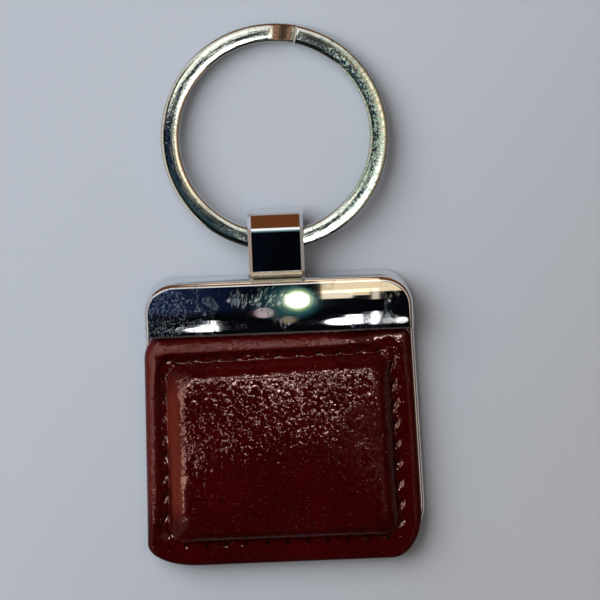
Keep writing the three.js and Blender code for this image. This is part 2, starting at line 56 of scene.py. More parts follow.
# Frame casting: a zinc die casting, polished and chromed, that is the crowned bar across the top
# and the flat plate under the leather in one. Sizes are in millimetres from here on.
FRAME_TOP, FRAME_FOOT = 20.6, -20.6
FRAME_CORNER, FOOT_CORNER = 4.6, 7.4
FRAME_FLARE = 0.8
PLATE_THICK, PLATE_BEVEL, PLATE_EDGE = 1.8, 0.3, 0.45
BAR_HALF, BAR_LOW = 19.175, 12.55
BAR_HEIGHT, BAR_CROWN = 5.2, 0.3
BAR_SHOULDER, BAR_LIP, BAR_END = 1.0, 0.3, 0.6
SLOT_CUT = ((-4.1, 17.2, -1.0), (4.1, 21.6, 3.6))
COVER_CUT = ((-13.6, 14.5, -1.0), (13.6, 19.5, 0.8))
PIN_CUT = ((-6.15, 17.95, -1.0), (6.15, 19.25, 2.85))
CORNER_COLUMNS, BAR_COLUMNS = 41, 120
BACK_ROWS, BAR_ROWS, PLATE_ROWS, WALL_ROWS = 61, 121, 41, 9
CROWD_FLAT, CROWD_BAR = 3.0, 2.4
MM, TINY, WELD = 0.001, 1e-9, 1e-8
SHARP = 35.0  # degrees
# The dark foot colour is painted contact shade where the chrome meets the table; the cast cream is a
# painted reflection on the rough cast foot.
CHROME, CONTACT_SHADE, CAST_CREAM_SHEEN = (0.82, 0.83, 0.85, 1), (0.06, 0.06, 0.07, 1), (0.86, 0.8, 0.68, 1)
# The scratches' blue and the fan's teal are painted glints, not the metal's own colour.
SCRATCH_GLINT_BLUE, FAN_GLINT_TEAL = (0.28, 0.46, 0.9, 1), (0.2, 0.58, 0.54, 1)
# Scratches: their turn in degrees, spacing, length, and the share of the noise that is left out.
SHORT_SCRATCHES = ((8, 0.11, 0.7, 0.59), (-42, 0.11, 0.5, 0.62), (65, 0.11, 0.45, 0.64))
FAN_SCRATCHES, SCRATCH_FADE = (-33, 0.1, 2.2, 0.6), 0.1
FAN_X, FAN_REACH, FAN_Y = -1.4, (2.8, 1.0), (16.4, 18.2)
# The foot line is the band of height over the back that holds the painted contact shade.
LESS_WORN_X, CONTACT_SHADE_BAND, CAST_FADE = (-17, 0), (0.12, 0.42), 0.15


def ease(low, high, x):
    """The cubic that climbs from 0 at low to 1 at high, level at both ends."""
    t = np.clip((x - low) / (high - low), 0, 1)
    return t * t * (3 - 2 * t)


def round_fall(distance, radius):
    """How far a quarter-round edge has fallen at a distance inside it: a circle's arc."""
    into = np.clip(radius - distance, 0, radius)
    return radius - np.sqrt(np.maximum(radius**2 - into**2, 0))


def frame_half(y):
    """Half the frame's width: even beside the bar, then widening in a straight line to the foot."""
    return BAR_HALF + FRAME_FLARE * np.clip((BAR_LOW - y) / (BAR_LOW - FRAME_FOOT), 0, None)


def inside_outline(across, y):
    """Distance inside the rounded outline, and how squarely its nearest edge faces along Y."""
    corner = np.where(y > 0, FRAME_CORNER, FOOT_CORNER)
    past_x = np.maximum(corner - BAR_HALF + np.abs(across), 0)
    past_y = np.maximum(corner - np.minimum(FRAME_TOP - y, y - FRAME_FOOT), 0)
    reach = np.hypot(past_x, past_y)
    return corner - reach, past_y / np.maximum(reach, TINY)


def bar_front(across, y):
    """Height of the bar: a parabola across it, less the rounds of its outer edge and its lip."""
    middle = (FRAME_TOP + BAR_LOW) / 2
    crown = BAR_HEIGHT - BAR_CROWN * ((y - middle) / (FRAME_TOP - middle)) ** 2
    inside, facing = inside_outline(across, y)
    shoulder = BAR_END + (BAR_SHOULDER - BAR_END) * facing**2
    return crown - round_fall(inside, shoulder) - round_fall(y - BAR_LOW, BAR_LIP)


def plate_front(across, y):
    """Height of the plate's front, level but for its rounded edge."""
    return PLATE_THICK - round_fall(inside_outline(across, y)[0], PLATE_EDGE)


def plate_back(across, y):
    """Height of the back, level at nought but for its rounded edge."""
    return round_fall(inside_outline(across, y)[0], PLATE_BEVEL)


def crowded(count, power):
    """Steps from 0 to 1 that crowd towards both ends, by a power of the way left to the nearer one."""
    t = np.linspace(-1, 1, count)
    return (1 + np.sign(t) * (1 - (1 - np.abs(t)) ** power)) / 2


def frame_loops():
    """Closed sections across X: up the back, over the bar and down the plate, from side to side.
    Columns follow the corner's arc by its angle, so they crowd where the outline turns."""
    turn = np.linspace(0, np.pi / 2, CORNER_COLUMNS)
    straight = BAR_HALF - FRAME_CORNER
    corner = straight + FRAME_CORNER * np.sin(turn)
    middle = np.linspace(-straight, straight, BAR_COLUMNS)[1:-1]
    wide = np.concatenate([-corner[::-1], middle, corner])[:, None]
    top = FRAME_TOP - round_fall(BAR_HALF - np.abs(wide), FRAME_CORNER)
    foot = FRAME_FOOT + round_fall(BAR_HALF - np.abs(wide), FOOT_CORNER)
    lip = np.full_like(top, BAR_LOW)
    back = foot + (top - foot) * crowded(BACK_ROWS, CROWD_FLAT)
    bar = top + (lip - top) * crowded(BAR_ROWS, CROWD_BAR)
    plate = lip + (foot - lip) * crowded(PLATE_ROWS, CROWD_FLAT)

    def upright(y, start, end):
        """The rows of an upright face between two heights, without its edges."""
        rise = np.linspace(0, 1, WALL_ROWS)[1:-1]
        return y + 0 * rise, start + (end - start) * rise

    chains = [
        (back, plate_back(wide, back)),
        upright(top, plate_back(wide, top), bar_front(wide, top)),
        (bar, bar_front(wide, bar)),
        upright(lip, bar_front(wide, lip), plate_front(wide, lip)),
        (plate, plate_front(wide, plate)),
        upright(foot, plate_front(wide, foot), plate_back(wide, foot)),
    ]
    y, z = (np.concatenate(rows, axis=1) for rows in zip(*chains))
    x = wide * frame_half(y) / BAR_HALF
    return np.stack([x, y, z], axis=-1)


def grid_faces(rows, columns, wrap_rows=False, wrap_columns=False, first=0):
    """Quads between neighbouring points of a grid, joined round where it wraps."""
    index = first + np.arange(rows * columns).reshape(rows, columns)
    index = np.concatenate([index, index[:1]]) if wrap_rows else index
    index = np.concatenate([index, index[:, :1]], axis=1) if wrap_columns else index
    quads = [index[:-1, :-1], index[1:, :-1], index[1:, 1:], index[:-1, 1:]]
    return np.stack(quads, axis=-1).reshape(-1, 4)


def capped_faces(rows, columns):
    """Faces of a tube made of closed rows, with one flat face over each end."""
    faces = grid_faces(rows, columns, wrap_columns=True).tolist()
    ends = range(columns), range((rows - 1) * columns, rows * columns)
    return faces + [list(end) for end in ends]


def shade(mesh, sharp):
    """Shades a mesh smooth, but not where it turns by more than an angle in degrees."""
    mesh.shade_smooth()
    mesh.set_sharp_from_angle(angle=np.radians(sharp))


def new_piece(name, points, faces, sharp=SHARP):
    """A mesh object from points in millimetres and faces, smooth but where it turns sharply."""
    mesh = bpy.data.meshes.new(name)
    mesh.from_pydata((np.asarray(points).reshape(-1, 3) * MM).tolist(), [], faces)
    shape = bmesh.new()
    shape.from_mesh(mesh)
    bmesh.ops.remove_doubles(shape, verts=shape.verts, dist=WELD)
    bmesh.ops.recalc_face_normals(shape, faces=shape.faces)
    shape.to_mesh(mesh)
    shape.free()
    shade(mesh, sharp)
    piece = bpy.data.objects.new(name, mesh)
    bpy.context.scene.collection.objects.link(piece)
    return piece


def cut_boxes(piece, boxes):
    """Takes boxes, each given by two opposite corners, out of a closed piece."""
    sides = [(0, 1, 3, 2), (4, 6, 7, 5), (0, 4, 5, 1), (2, 3, 7, 6), (0, 2, 6, 4), (1, 5, 7, 3)]
    cutters = []
    for low, high in boxes:
        corners = np.array(np.meshgrid(*zip(low, high), indexing="ij")).reshape(3, -1).T
        cutters.append(new_piece(piece.name + "_cut", corners, sides))
        cut = piece.modifiers.new("cut", "BOOLEAN")
        cut.operation, cut.solver, cut.object = "DIFFERENCE", "EXACT", cutters[-1]
    shown = piece.evaluated_get(bpy.context.evaluated_depsgraph_get())
    mesh = bpy.data.meshes.new_from_object(shown)
    piece.modifiers.clear()
    piece.data = mesh
    shade(mesh, SHARP)
    for cutter in cutters:
        bpy.data.objects.remove(cutter)


class Tone:
    """One output of a node tree. Arithmetic on it adds Math nodes to that tree."""

    def __init__(self, finish, socket):
        self.finish, self.socket = finish, socket

    def math(self, operation, *values):
        sockets = dict(enumerate(values))
        return self.finish.node("ShaderNodeMath", {"operation": operation}, sockets)

    def __add__(self, other):
        return self.math("ADD", self, other)

    def __sub__(self, other):
        return self.math("SUBTRACT", self, other)

    def __rsub__(self, other):
        return self.math("SUBTRACT", other, self)

    def __mul__(self, other):
        return self.math("MULTIPLY", self, other)

    def __truediv__(self, other):
        return self.math("DIVIDE", self, other)

    def __rtruediv__(self, other):
        return self.math("DIVIDE", other, self)

    def __pow__(self, other):
        return self.math("POWER", self, other)

    def __abs__(self):
        return self.math("ABSOLUTE", self)

    __radd__ = __add__
    __rmul__ = __mul__


class Finish:
    """A node tree for a surface or for the light around it."""

    def __init__(self, owner):
        owner.use_nodes = True
        self.owner, self.tree = owner, owner.node_tree
        self.tree.nodes.clear()

    def node(self, kind, settings=None, sockets=None, out=0):
        """One node: its settings first, among them a ramp's stops in their order, then the values
        or links of its sockets."""
        made = self.tree.nodes.new(kind)
        for key, value in (settings or {}).items():
            if key == "stops":
                ramp = made.color_ramp.elements
                for place, _ in value[1:-1]:
                    ramp.new(place)
                for element, (place, colour) in zip(ramp, value):
                    element.position, element.color = place, (*colour, 1)
            else:
                setattr(made, key, value)
        for key, value in (sockets or {}).items():
            if isinstance(value, Tone):
                self.tree.links.new(value.socket, made.inputs[key])
            else:
                made.inputs[key].default_value = value
        return Tone(self, made.outputs[out]) if len(made.outputs) else None

    def band(self, value, low, high):
        """0 below low and 1 above high, with an eased climb between; high may be the lower one."""
        sockets = {"Value": value, "From Min": low, "From Max": high}
        return self.node("ShaderNodeMapRange", {"interpolation_type": "SMOOTHSTEP"}, sockets)

    def mix(self, share, below, above):
        """A colour between two others."""
        names = {0: share, 6: below, 7: above}
        return self.node("ShaderNodeMix", {"data_type": "RGBA"}, names, out=2)

    def millimetres(self, scale=(1, 1, 1)):
        """Places on the piece in millimetres, times a scale along each axis for a pattern."""
        place = self.node("ShaderNodeTexCoord", out=3)
        size = [1000 * s for s in scale]
        return self.node("ShaderNodeMapping", {}, {"Vector": place, "Scale": size})

    def axes(self, place):
        """The three parts of a place or a direction."""
        return [self.node("ShaderNodeSeparateXYZ", {}, {0: place}, out=i) for i in range(3)]

    def vector(self, operation, one, other, out=0):
        """Arithmetic on two vectors."""
        return self.node("ShaderNodeVectorMath", {"operation": operation}, {0: one, 1: other}, out)

    def noise(self, place, scale, detail, rough=0.5):
        """Cloudy noise from 0 to 1 about a half, of so many clouds to a unit of the place."""
        names = {"Vector": place, "Scale": scale, "Detail": detail, "Roughness": rough}
        return self.node("ShaderNodeTexNoise", {}, names)

    def bump(self, height, distance, strength, under=None):
        """A normal leaned by the slope of a height, which is a distance in millimetres at 1."""
        names = {"Height": height, "Distance": distance * MM, "Strength": strength}
        if under is not None:
            names["Normal"] = under
        return self.node("ShaderNodeBump", {}, names)

    def surface(self, **sockets):
        """The shader and the output that end a material."""
        names = {key.replace("_", " "): value for key, value in sockets.items()}
        shader = self.node("ShaderNodeBsdfPrincipled", {}, names)
        self.node("ShaderNodeOutputMaterial", {}, {"Surface": shader})
        return self.owner


def scratches(finish, turn, spacing, length, keep):
    """Fine straight scratches one way: noise drawn out along one axis, of which the peaks are kept."""
    coordinates = finish.node("ShaderNodeTexCoord", out=3)
    sockets = {"Vector": coordinates, "Rotation": (0, 0, np.radians(turn))}
    sockets["Scale"] = (spacing * MM, length * MM, spacing * MM)
    place = finish.node("ShaderNodeMapping", {"vector_type": "TEXTURE"}, sockets)
    return finish.band(finish.noise(place, scale=1.0, detail=1.0), keep, keep + SCRATCH_FADE)


def chrome_finish(name, wear, cast_below=0.0):
    """Chrome plate: mirror bright, with short fine scratches where it is worn, tinted blue as painted
    glints, a fan of long ones beside the middle of the bar, tinted teal as painted glints, a painted
    dark line of contact shade where it meets the table, and below a given Y the rough grain of a casting
    that was plated unpolished, tinted cream as a painted reflection."""
    finish = Finish(bpy.data.materials.new(name))
    place = finish.millimetres()
    x, y, z = finish.axes(place)
    cloud = finish.noise(place, scale=0.3, detail=3.0)
    worn = finish.band(cloud - finish.band(x, *LESS_WORN_X) * 0.2, 0.3, 0.62) * wear
    short = sum(scratches(finish, *way) for way in SHORT_SCRATCHES) * worn
    beside = finish.band(abs(x - FAN_X), *FAN_REACH) * finish.band(y, *FAN_Y) * wear
    fan = scratches(finish, *FAN_SCRATCHES) * beside
    rub = short + fan
    # Painted glints: blue in the short scratches, teal in the fan.
    tint = finish.mix(short, CHROME, SCRATCH_GLINT_BLUE)
    tint = finish.mix(fan, tint, FAN_GLINT_TEAL)
    # Painted contact shade: a dark line along the foot, where the chrome meets the table.
    tint = finish.mix(finish.band(z, *CONTACT_SHADE_BAND), CONTACT_SHADE, tint)
    normal = finish.bump(rub, distance=0.001, strength=0.5)
    rough = rub * 0.4 + 0.015
    if cast_below:
        cast = finish.band(y, cast_below, cast_below - CAST_FADE)
        # The cast foot is really rough and grained; its cream tint is a painted reflection.
        tint = finish.mix(cast, tint, CAST_CREAM_SHEEN)
        rough = rough + cast * 0.3
        grain = finish.noise(place, scale=3.5, detail=2.0) * cast
        normal = finish.bump(grain, distance=0.12, strength=0.8, under=normal)
    return finish.surface(Base_Color=tint, Metallic=1.0, Roughness=rough, Normal=normal)


frame_grid = frame_loops()
frame_casting = new_piece("frame_casting_polished", frame_grid, capped_faces(*frame_grid.shape[:2]))
cut_boxes(frame_casting, [SLOT_CUT, COVER_CUT, PIN_CUT])
chrome = chrome_finish("chrome_plate", wear=1.0)
frame_casting.data.materials.append(chrome)
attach(frame_casting, "holder")
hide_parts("frame_casting")

# Hinge pin, cover and screws: a turned steel pin in a trough of the bar, kept there by a small
# chromed plate let into the back and held by two countersunk steel screws.
STEEL_DARK, STEEL_PALE = (0.42, 0.42, 0.42, 1), (0.62, 0.62, 0.63, 1)


def steel_finish():
    """Turned steel: satin, with fine rings of tool marks and a little grime in them."""
    finish = Finish(bpy.data.materials.new("turned_steel"))
    grain = finish.noise(finish.millimetres((2, 14, 14)), scale=1.4, detail=4.0)
    tint = finish.mix(grain, STEEL_DARK, STEEL_PALE)
    normal = finish.bump(grain, distance=0.02, strength=0.4)
    return finish.surface(Base_Color=tint, Metallic=1.0, Roughness=grain * 0.2 + 0.22, Normal=normal)


def dress(node, material):
    """Gives a node of the model its finish."""
    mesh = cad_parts[node].data
    mesh.materials.clear()
    mesh.materials.append(material)


turned_steel = steel_finish()
for node in ("hinge_pin", "cover_screw_left", "cover_screw_right"):
    dress(node, turned_steel)
dress("hinge_cover", chrome)

# Shackle: the chromed cast loop that carries the ring. Its knuckle turns on the pin in the bar's
# slot, its edges are bevelled on both sides, and its rounded tip is ground flat in front. It is
# polished all over but for its foot, which is left as cast.
PIN_Y, PIN_Z = 18.6, 2.2
KNUCKLE, KNUCKLE_BORE, NECK = 1.25, 0.68, 0.8
SHACKLE_HALF, SHACKLE_ROUND, SHACKLE_TIP = 3.95, 3.05, 11.9
SHACKLE_STRAP, SHACKLE_BEVEL, EYE_BEVEL, BORE_BEVEL = 1.0, 0.45, 0.27, 0.1
SHACKLE_FOOT, FOOT_WALL, FOOT_BEND, REAR_BEND = 2.35, 1.5, 0.8, 1.5
EYE_RISE, EYE_CORNER = 0.9, 0.8
FACET_FROM, FACET_TO = 40.0, 78.0
SHACKLE_SHARP = 24.0
CAST_BELOW = 21.85


def arc(middle, radius, start, end, count):
    """Points of a circle's arc between two angles in radians."""
    turn = np.linspace(start, end, count)
    return np.stack([middle[0] + radius * np.cos(turn), middle[1] + radius * np.sin(turn)], axis=-1)


def shackle_outline():
    """Side view from the pin's axis: knuckle, rear bend, round tip with a ground facet between two
    angles, front bend and neck."""
    neck_turn = np.arcsin(NECK / KNUCKLE)
    rear_low = EYE_RISE - SHACKLE_ROUND + REAR_BEND
    rear = np.pi + np.arcsin(np.clip((rear_low + NECK) / REAR_BEND, 0, 1))
    tip = (SHACKLE_TIP - SHACKLE_ROUND, EYE_RISE)
    front = EYE_RISE + SHACKLE_ROUND - FOOT_BEND
    low, high = np.radians(FACET_FROM), np.radians(FACET_TO)
    round_low = arc(tip, SHACKLE_ROUND, -np.pi / 2, low, count=61)
    round_high = arc(tip, SHACKLE_ROUND, high, np.pi / 2, count=9)
    share = np.array([0.02, 0.06, 0.5, 0.94, 0.98])[:, None]
    facet = round_low[-1] + (round_high[0] - round_low[-1]) * share
    return np.concatenate([
        arc((0, 0), KNUCKLE, neck_turn, 2 * np.pi - neck_turn, count=49),
        arc((SHACKLE_FOOT + REAR_BEND, rear_low), REAR_BEND, rear, 1.5 * np.pi, count=17),
        round_low,
        facet,
        round_high,
        arc((SHACKLE_FOOT + FOOT_BEND, front), FOOT_BEND, np.pi / 2, np.pi, count=33),
        [[SHACKLE_FOOT, NECK]],
    ])


def eye_outline():
    """Side view of the eye: round at the tip, square with small corners at the foot."""
    half = SHACKLE_ROUND - SHACKLE_STRAP
    start = SHACKLE_FOOT + FOOT_WALL + EYE_CORNER
    tip = (SHACKLE_TIP - SHACKLE_ROUND, EYE_RISE)
    return np.concatenate([
        arc(tip, half, -np.pi / 2, np.pi / 2, count=49),
        arc((start, EYE_RISE + half - EYE_CORNER), EYE_CORNER, np.pi / 2, np.pi, count=13),
        arc((start, EYE_RISE - half + EYE_CORNER), EYE_CORNER, np.pi, 1.5 * np.pi, count=13),
    ])


def drawn_across(outline, half, bevel, inward):
    """A side view carried across X: full in the middle, drawn in along its normals at both edges."""
    ahead = np.roll(outline, -1, axis=0) - outline
    ahead /= np.linalg.norm(ahead, axis=1, keepdims=True)
    along = ahead + np.roll(ahead, 1, axis=0)
    along /= np.linalg.norm(along, axis=1, keepdims=True)
    normal = np.stack([along[:, 1], -along[:, 0]], axis=-1)
    slope = np.array([1.0, 0.93, 0.5, 0.07, 0.0])
    step = np.array([0.0, 0.02, 0.5, 0.98, 1.07])
    x = np.concatenate([-half + bevel * step, (half - bevel * step)[::-1]])
    drawn = bevel * np.concatenate([slope, slope[::-1]])
    side = outline[None] - inward * drawn[:, None, None] * normal[None]
    wide = np.broadcast_to(x[:, None, None], (*side.shape[:2], 1))
    return np.concatenate([wide, side + np.array([PIN_Y, PIN_Z])], axis=-1)


def filled_sides(piece):
    """Closes the flat sides of a piece between its open edges, holes left open."""
    shape = bmesh.new()
    shape.from_mesh(piece.data)
    open_edges = [edge for edge in shape.edges if edge.is_boundary]
    for side in (-1, 1):
        edges = [edge for edge in open_edges if edge.verts[0].co.x * side > 0]
        bmesh.ops.triangle_fill(shape, edges=edges, use_beauty=True)
    bmesh.ops.recalc_face_normals(shape, faces=shape.faces)
    shape.to_mesh(piece.data)
    shape.free()


outer, eye = shackle_outline(), eye_outline()
bore = arc((0, 0), KNUCKLE_BORE, 0, 2 * np.pi, count=33)[:-1]
walls = [(outer, SHACKLE_BEVEL, 1), (eye, EYE_BEVEL, -1), (bore, BORE_BEVEL, -1)]
shackle_points, shackle_faces = [], []
for outline, bevel, inward in walls:
    wall = drawn_across(outline, SHACKLE_HALF, bevel, inward)
    first = sum(len(points) for points in shackle_points)
    shackle_faces += grid_faces(*wall.shape[:2], wrap_columns=True, first=first).tolist()
    shackle_points.append(wall.reshape(-1, 3))
shackle = new_piece("shackle_polished", np.concatenate(shackle_points), shackle_faces)
filled_sides(shackle)
shade(shackle.data, SHACKLE_SHARP)
shackle.data.materials.append(chrome_finish("chrome_loop", wear=0.12, cast_below=CAST_BELOW))
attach(shackle, "loop")
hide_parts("shackle")

# Split ring: flat nickel-plated spring wire wound through almost two turns, with a domed face and
# rounded edges. It steps from the front leaf to the rear one beside its blunt front end.
RING_MEAN, RING_BAND, LEAF, LEAF_PITCH = 14.875, 2.65, 1.0, 1.1
RING_DOME, WIRE_SQUARE, WIRE_POINTS, RING_STEPS = 0.1, 0.42, 57, 1201
RING_PIVOT, RING_TILT = (0.4, 25.775, 3.1), 3.783
RING_START, RING_TURNS = 77.0, 692.0
CROSS_START, CROSS_SPAN = 346.0, 16.0
END_ROUND, END_NARROW, END_THIN = 0.45, 0.12, 0.6
NICKEL_GREEN, NICKEL_PALE, SPECK_GREEN = (0.7, 0.73, 0.67, 1), (0.82, 0.82, 0.79, 1), (0.42, 0.6, 0.5, 1)
RUB_ALONG, RUB_ACROSS, KEYED_X = 0.35, 7.0, (5, 12)


def wire_section():
    """The wire's section: a squared ellipse, whose two faces fall off in a parabola to the edges."""
    turn = np.linspace(0, 2 * np.pi, WIRE_POINTS)[:-1]
    wide = np.sign(np.cos(turn)) * np.abs(np.cos(turn)) ** WIRE_SQUARE * RING_BAND / 2
    thick = np.sign(np.sin(turn)) * np.abs(np.sin(turn)) ** WIRE_SQUARE * LEAF / 2
    dome = 1 - RING_DOME / (LEAF / 2) * (2 * wide / RING_BAND) ** 2
    return wide, thick * dome


def ring_wire():
    """The section carried clockwise round the ring, dipping by one leaf near the end of a turn.
    The last steps at both ends draw the section in, so that the ends are blunt but not sharp."""
    turned = np.linspace(0, RING_TURNS, RING_STEPS)
    wide, thick = wire_section()
    from_end = np.minimum(turned, RING_TURNS - turned) * np.pi / 180 * RING_MEAN
    drawn = round_fall(from_end, END_ROUND)[:, None] / END_ROUND
    turn = np.radians(RING_START - turned)[:, None]
    level = LEAF_PITCH * (0.5 - ease(CROSS_START, CROSS_START + CROSS_SPAN, turned))[:, None]
    reach = RING_MEAN + wide * (1 - END_NARROW * drawn)
    level = level + thick * (1 - END_THIN * drawn)
    local = np.stack([reach * np.cos(turn), RING_MEAN + reach * np.sin(turn), level], -1)
    tilt = np.radians(-RING_TILT)
    y = local[..., 1] * np.cos(tilt) - local[..., 2] * np.sin(tilt)
    z = local[..., 1] * np.sin(tilt) + local[..., 2] * np.cos(tilt)
    return np.stack([local[..., 0], y, z], -1) + np.array(RING_PIVOT)


def ring_finish():
    """Nickel plate on spring steel: rubbed along the ring, with pits, dull specks here and there,
    and on the right more of them, from keys."""
    finish = Finish(bpy.data.materials.new("rubbed_nickel"))
    place = finish.millimetres()
    middle = (RING_PIVOT[0], RING_PIVOT[1] + RING_MEAN, 0)
    x, y, _ = finish.axes(finish.vector("SUBTRACT", place, middle))
    around = y.math("ARCTAN2", y, x) * RING_MEAN
    out = (x * x + y * y) ** 0.5
    lines = finish.node("ShaderNodeCombineXYZ", {}, {0: around * RUB_ALONG, 1: out * RUB_ACROSS})
    rub = finish.band(finish.noise(lines, scale=1.0, detail=3.0), 0.5, 0.72)
    pits = finish.noise(place, scale=2.6, detail=3.0, rough=0.62)
    cloud = finish.noise(place, scale=0.3, detail=2.0)
    dull = finish.band(pits, 0.5, 0.7) * finish.band(cloud, 0.3, 0.6)
    keyed = finish.band(pits, 0.4, 0.62) * finish.band(x, *KEYED_X)
    tint = finish.mix(cloud, NICKEL_GREEN, NICKEL_PALE)
    tint = finish.mix(dull.math("MAXIMUM", dull, keyed), tint, SPECK_GREEN)
    rough = dull * 0.14 + keyed * 0.2 + rub * 0.05 + 0.04
    normal = finish.bump(pits + rub * 0.25, distance=0.02, strength=0.5)
    return finish.surface(Base_Color=tint, Metallic=1.0, Roughness=rough, Normal=normal)


ring_points = ring_wire()
ring_faces = capped_faces(*ring_points.shape[:2])
split_ring = new_piece("split_ring_wire", ring_points, ring_faces, sharp=50)
split_ring.data.materials.append(ring_finish())
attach(split_ring, "ring")
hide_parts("split_ring")

# Bonding sheet and backing board: the double-sided sheet that holds the pad on the plate, and the
# brown fibreboard that the leather is sewn to and turned round. Neither shows from outside.
BOARD_DARK, BOARD_PALE = (0.1, 0.052, 0.024, 1), (0.21, 0.125, 0.062, 1)
FILM_CREAM, FILM_PALE = (0.5, 0.47, 0.38, 1), (0.63, 0.6, 0.5, 1)


def board_finish():
    """Pressed brown fibreboard: flecks of two browns, dull and slightly rough."""
    finish = Finish(bpy.data.materials.new("brown_fibreboard"))
    fleck = finish.noise(finish.millimetres((1, 3, 3)), scale=2.2, detail=5.0, rough=0.6)
    tint = finish.mix(finish.band(fleck, 0.3, 0.7), BOARD_DARK, BOARD_PALE)
    normal = finish.bump(fleck, distance=0.05, strength=0.4)
    return finish.surface(Base_Color=tint, Roughness=fleck * 0.2 + 0.7, Normal=normal)


def film_finish():
    """Double-sided sheet: cream, waxy, with faint clouds of adhesive."""
    finish = Finish(bpy.data.materials.new("adhesive_film"))
    cloud = finish.noise(finish.millimetres(), scale=0.6, detail=4.0)
    tint = finish.mix(cloud, FILM_CREAM, FILM_PALE)
    return finish.surface(Base_Color=tint, Roughness=cloud * 0.25 + 0.35)


dress("backing_board", board_finish())
dress("bonding_sheet", film_finish())

# Foam filling: a cut block of closed-cell foam on the board, which raises the middle of the
# leather. It shows only if the leather is lifted.
PAD_TOP, PAD_FOOT = 12.25, -21.0
LEFT_OVERHANG, RIGHT_MARGIN = 0.2, 0.5
PAD_CORNERS = ((0.9, 1.6), (1.9, 3.0), (7.4, 3.4), (4.6, 7.0))
SEAM_CORNERS, RAISED_CORNER = (2.0, 2.0, 3.0, 3.0), 3.2
SEAM_INSET = {"top": 3.2, "left": 2.85, "foot": 3.0, "right": 2.9}
RAISED_INSET = {"top": 5.8, "left": 5.45, "foot": 5.4, "right": 5.35}
SEAM_SLANT = 0.3
SKIRT_LOW, SKIRT_ROUND, BOARD_TOP = 1.85, 0.25, 3.0
RIM_TOP, CHANNEL_TOP, PAD_CROWN, FOAM_CROWN = 4.2, 3.6, 6.0, 0.8
CREST_SLOPE, RIM_DROP, TOP_RIM_SHIFT = 0.17, 0.6, 0.15
TOP_ZONE, RIGHT_ZONE, FOOT_ZONE = (4.0, 9.0), (9.0, 15.0), (14.0, 18.0)
LEATHER_THICK, SOFT_GAP = 0.9, 0.12
RIM_AT, CHANNEL_FROM, CHANNEL_TO, FOAM_FROM = 0.4, 0.86, 1.12, 1.45
FOAM_EDGE, CROWN_FROM, FOAM_END = 0.05, 2.1, 2.96
CORNER_POINTS, SIDE_POINTS, SLOPE_ROWS, CROWN_ROWS = 25, 56, 10, 14
FOAM_CREAM, FOAM_DARK = (0.72, 0.68, 0.55, 1), (0.6, 0.56, 0.43, 1)


def by_station(station, edge, seam, raised, middle):
    """A size that runs in straight lines from the edge to the seam, the raised edge and the middle."""
    return np.interp(station, [0, 1, 2, 3], [edge, seam, raised, middle])


def pad_loops(station, further=0.0):
    """The pad's outlines at stations 0 edge, 1 seam, 2 raised edge, 3 middle, one row to each:
    four corners of quarter ellipses, joined by straight sides."""
    station = np.atleast_1d(np.asarray(station, float))
    half = (PAD_TOP - PAD_FOOT) / 2
    spans = {"top": half, "foot": half, "left": BAR_HALF, "right": BAR_HALF}
    inset = {
        side: by_station(station, 0, SEAM_INSET[side], RAISED_INSET[side], spans[side]) + further
        for side in spans
    }
    top, foot = PAD_TOP - inset["top"], PAD_FOOT + inset["foot"]

    def left(y):
        return inset["left"] - frame_half(y) - LEFT_OVERHANG

    def right(y):
        return frame_half(y) - RIGHT_MARGIN - inset["right"]

    slant = SEAM_SLANT * np.minimum(np.minimum(station, 1), 3 - station)
    corners = [
        (right(top), top + slant),
        (left(top), top - slant),
        (left(foot), foot),
        (right(foot), foot),
    ]
    points = np.array(corners).transpose(2, 0, 1)
    turn = np.linspace(0, np.pi / 2, CORNER_POINTS)
    rounded = []
    for i in range(4):
        before = points[:, i - 1] - points[:, i]
        after = points[:, (i + 1) % 4] - points[:, i]
        runs = [by_station(station, run, SEAM_CORNERS[i], RAISED_CORNER, 0.0) for run in PAD_CORNERS[i]]
        run_before, run_after = runs[::-1] if i % 2 == 0 else runs
        before *= (run_before / np.maximum(np.linalg.norm(before, axis=1), TINY))[:, None]
        after *= (run_after / np.maximum(np.linalg.norm(after, axis=1), TINY))[:, None]
        curve = points[:, i, None] + before[:, None] * (1 - np.sin(turn))[:, None]
        rounded.append(curve + after[:, None] * (1 - np.cos(turn))[:, None])
    share = np.linspace(0, 1, SIDE_POINTS + 2)[1:-1, None]
    rows = []
    for i in range(4):
        start, end = rounded[i][:, -1:], rounded[(i + 1) % 4][:, :1]
        rows += [rounded[i], start + (end - start) * share]
    return np.concatenate(rows, axis=1)


def leather_height(station, loops):
    """Height of the skin: a rounded rim, pressed lower on the right and at the foot, the sewn
    channel, then a slope that rounds over onto the raised middle, whose crown is a parabola across
    times one along it."""
    at, x, y = station[:, None], loops[..., 0], loops[..., 1]
    crest = RIM_AT + TOP_RIM_SHIFT * ease(*TOP_ZONE, y)
    rim = np.sqrt(np.maximum(1 - np.clip(1 - at / crest, 0, 1) ** 2, 0))
    rim_top = RIM_TOP - RIM_DROP * np.maximum(ease(*RIGHT_ZONE, x), ease(*FOOT_ZONE, -y))
    height = BOARD_TOP + (rim_top - BOARD_TOP) * rim
    height = height + (CHANNEL_TOP - rim_top) * ease(crest, CHANNEL_FROM, at)
    up = np.clip((at - CHANNEL_TO) / (2 - CHANNEL_TO), 0, 1)
    rise = up * (2 - up) * (1 - CREST_SLOPE) + up * CREST_SLOPE
    height = height + (PAD_CROWN - FOAM_CROWN - CHANNEL_TOP) * rise
    edge = pad_loops([2.0])[0]
    low, high = edge.min(axis=0), edge.max(axis=0)
    share = np.clip((loops - (low + high) / 2) / ((high - low) / 2), -1, 1)
    return height + FOAM_CROWN * (1 - share[..., 0] ** 2) * (1 - share[..., 1] ** 2) * (at >= 2)


def raised(loops, heights):
    """Flat loops given a height each, or a height for each of their points."""
    heights = np.broadcast_to(np.asarray(heights, float), loops.shape[:2])
    return np.concatenate([loops, heights[..., None]], axis=-1)


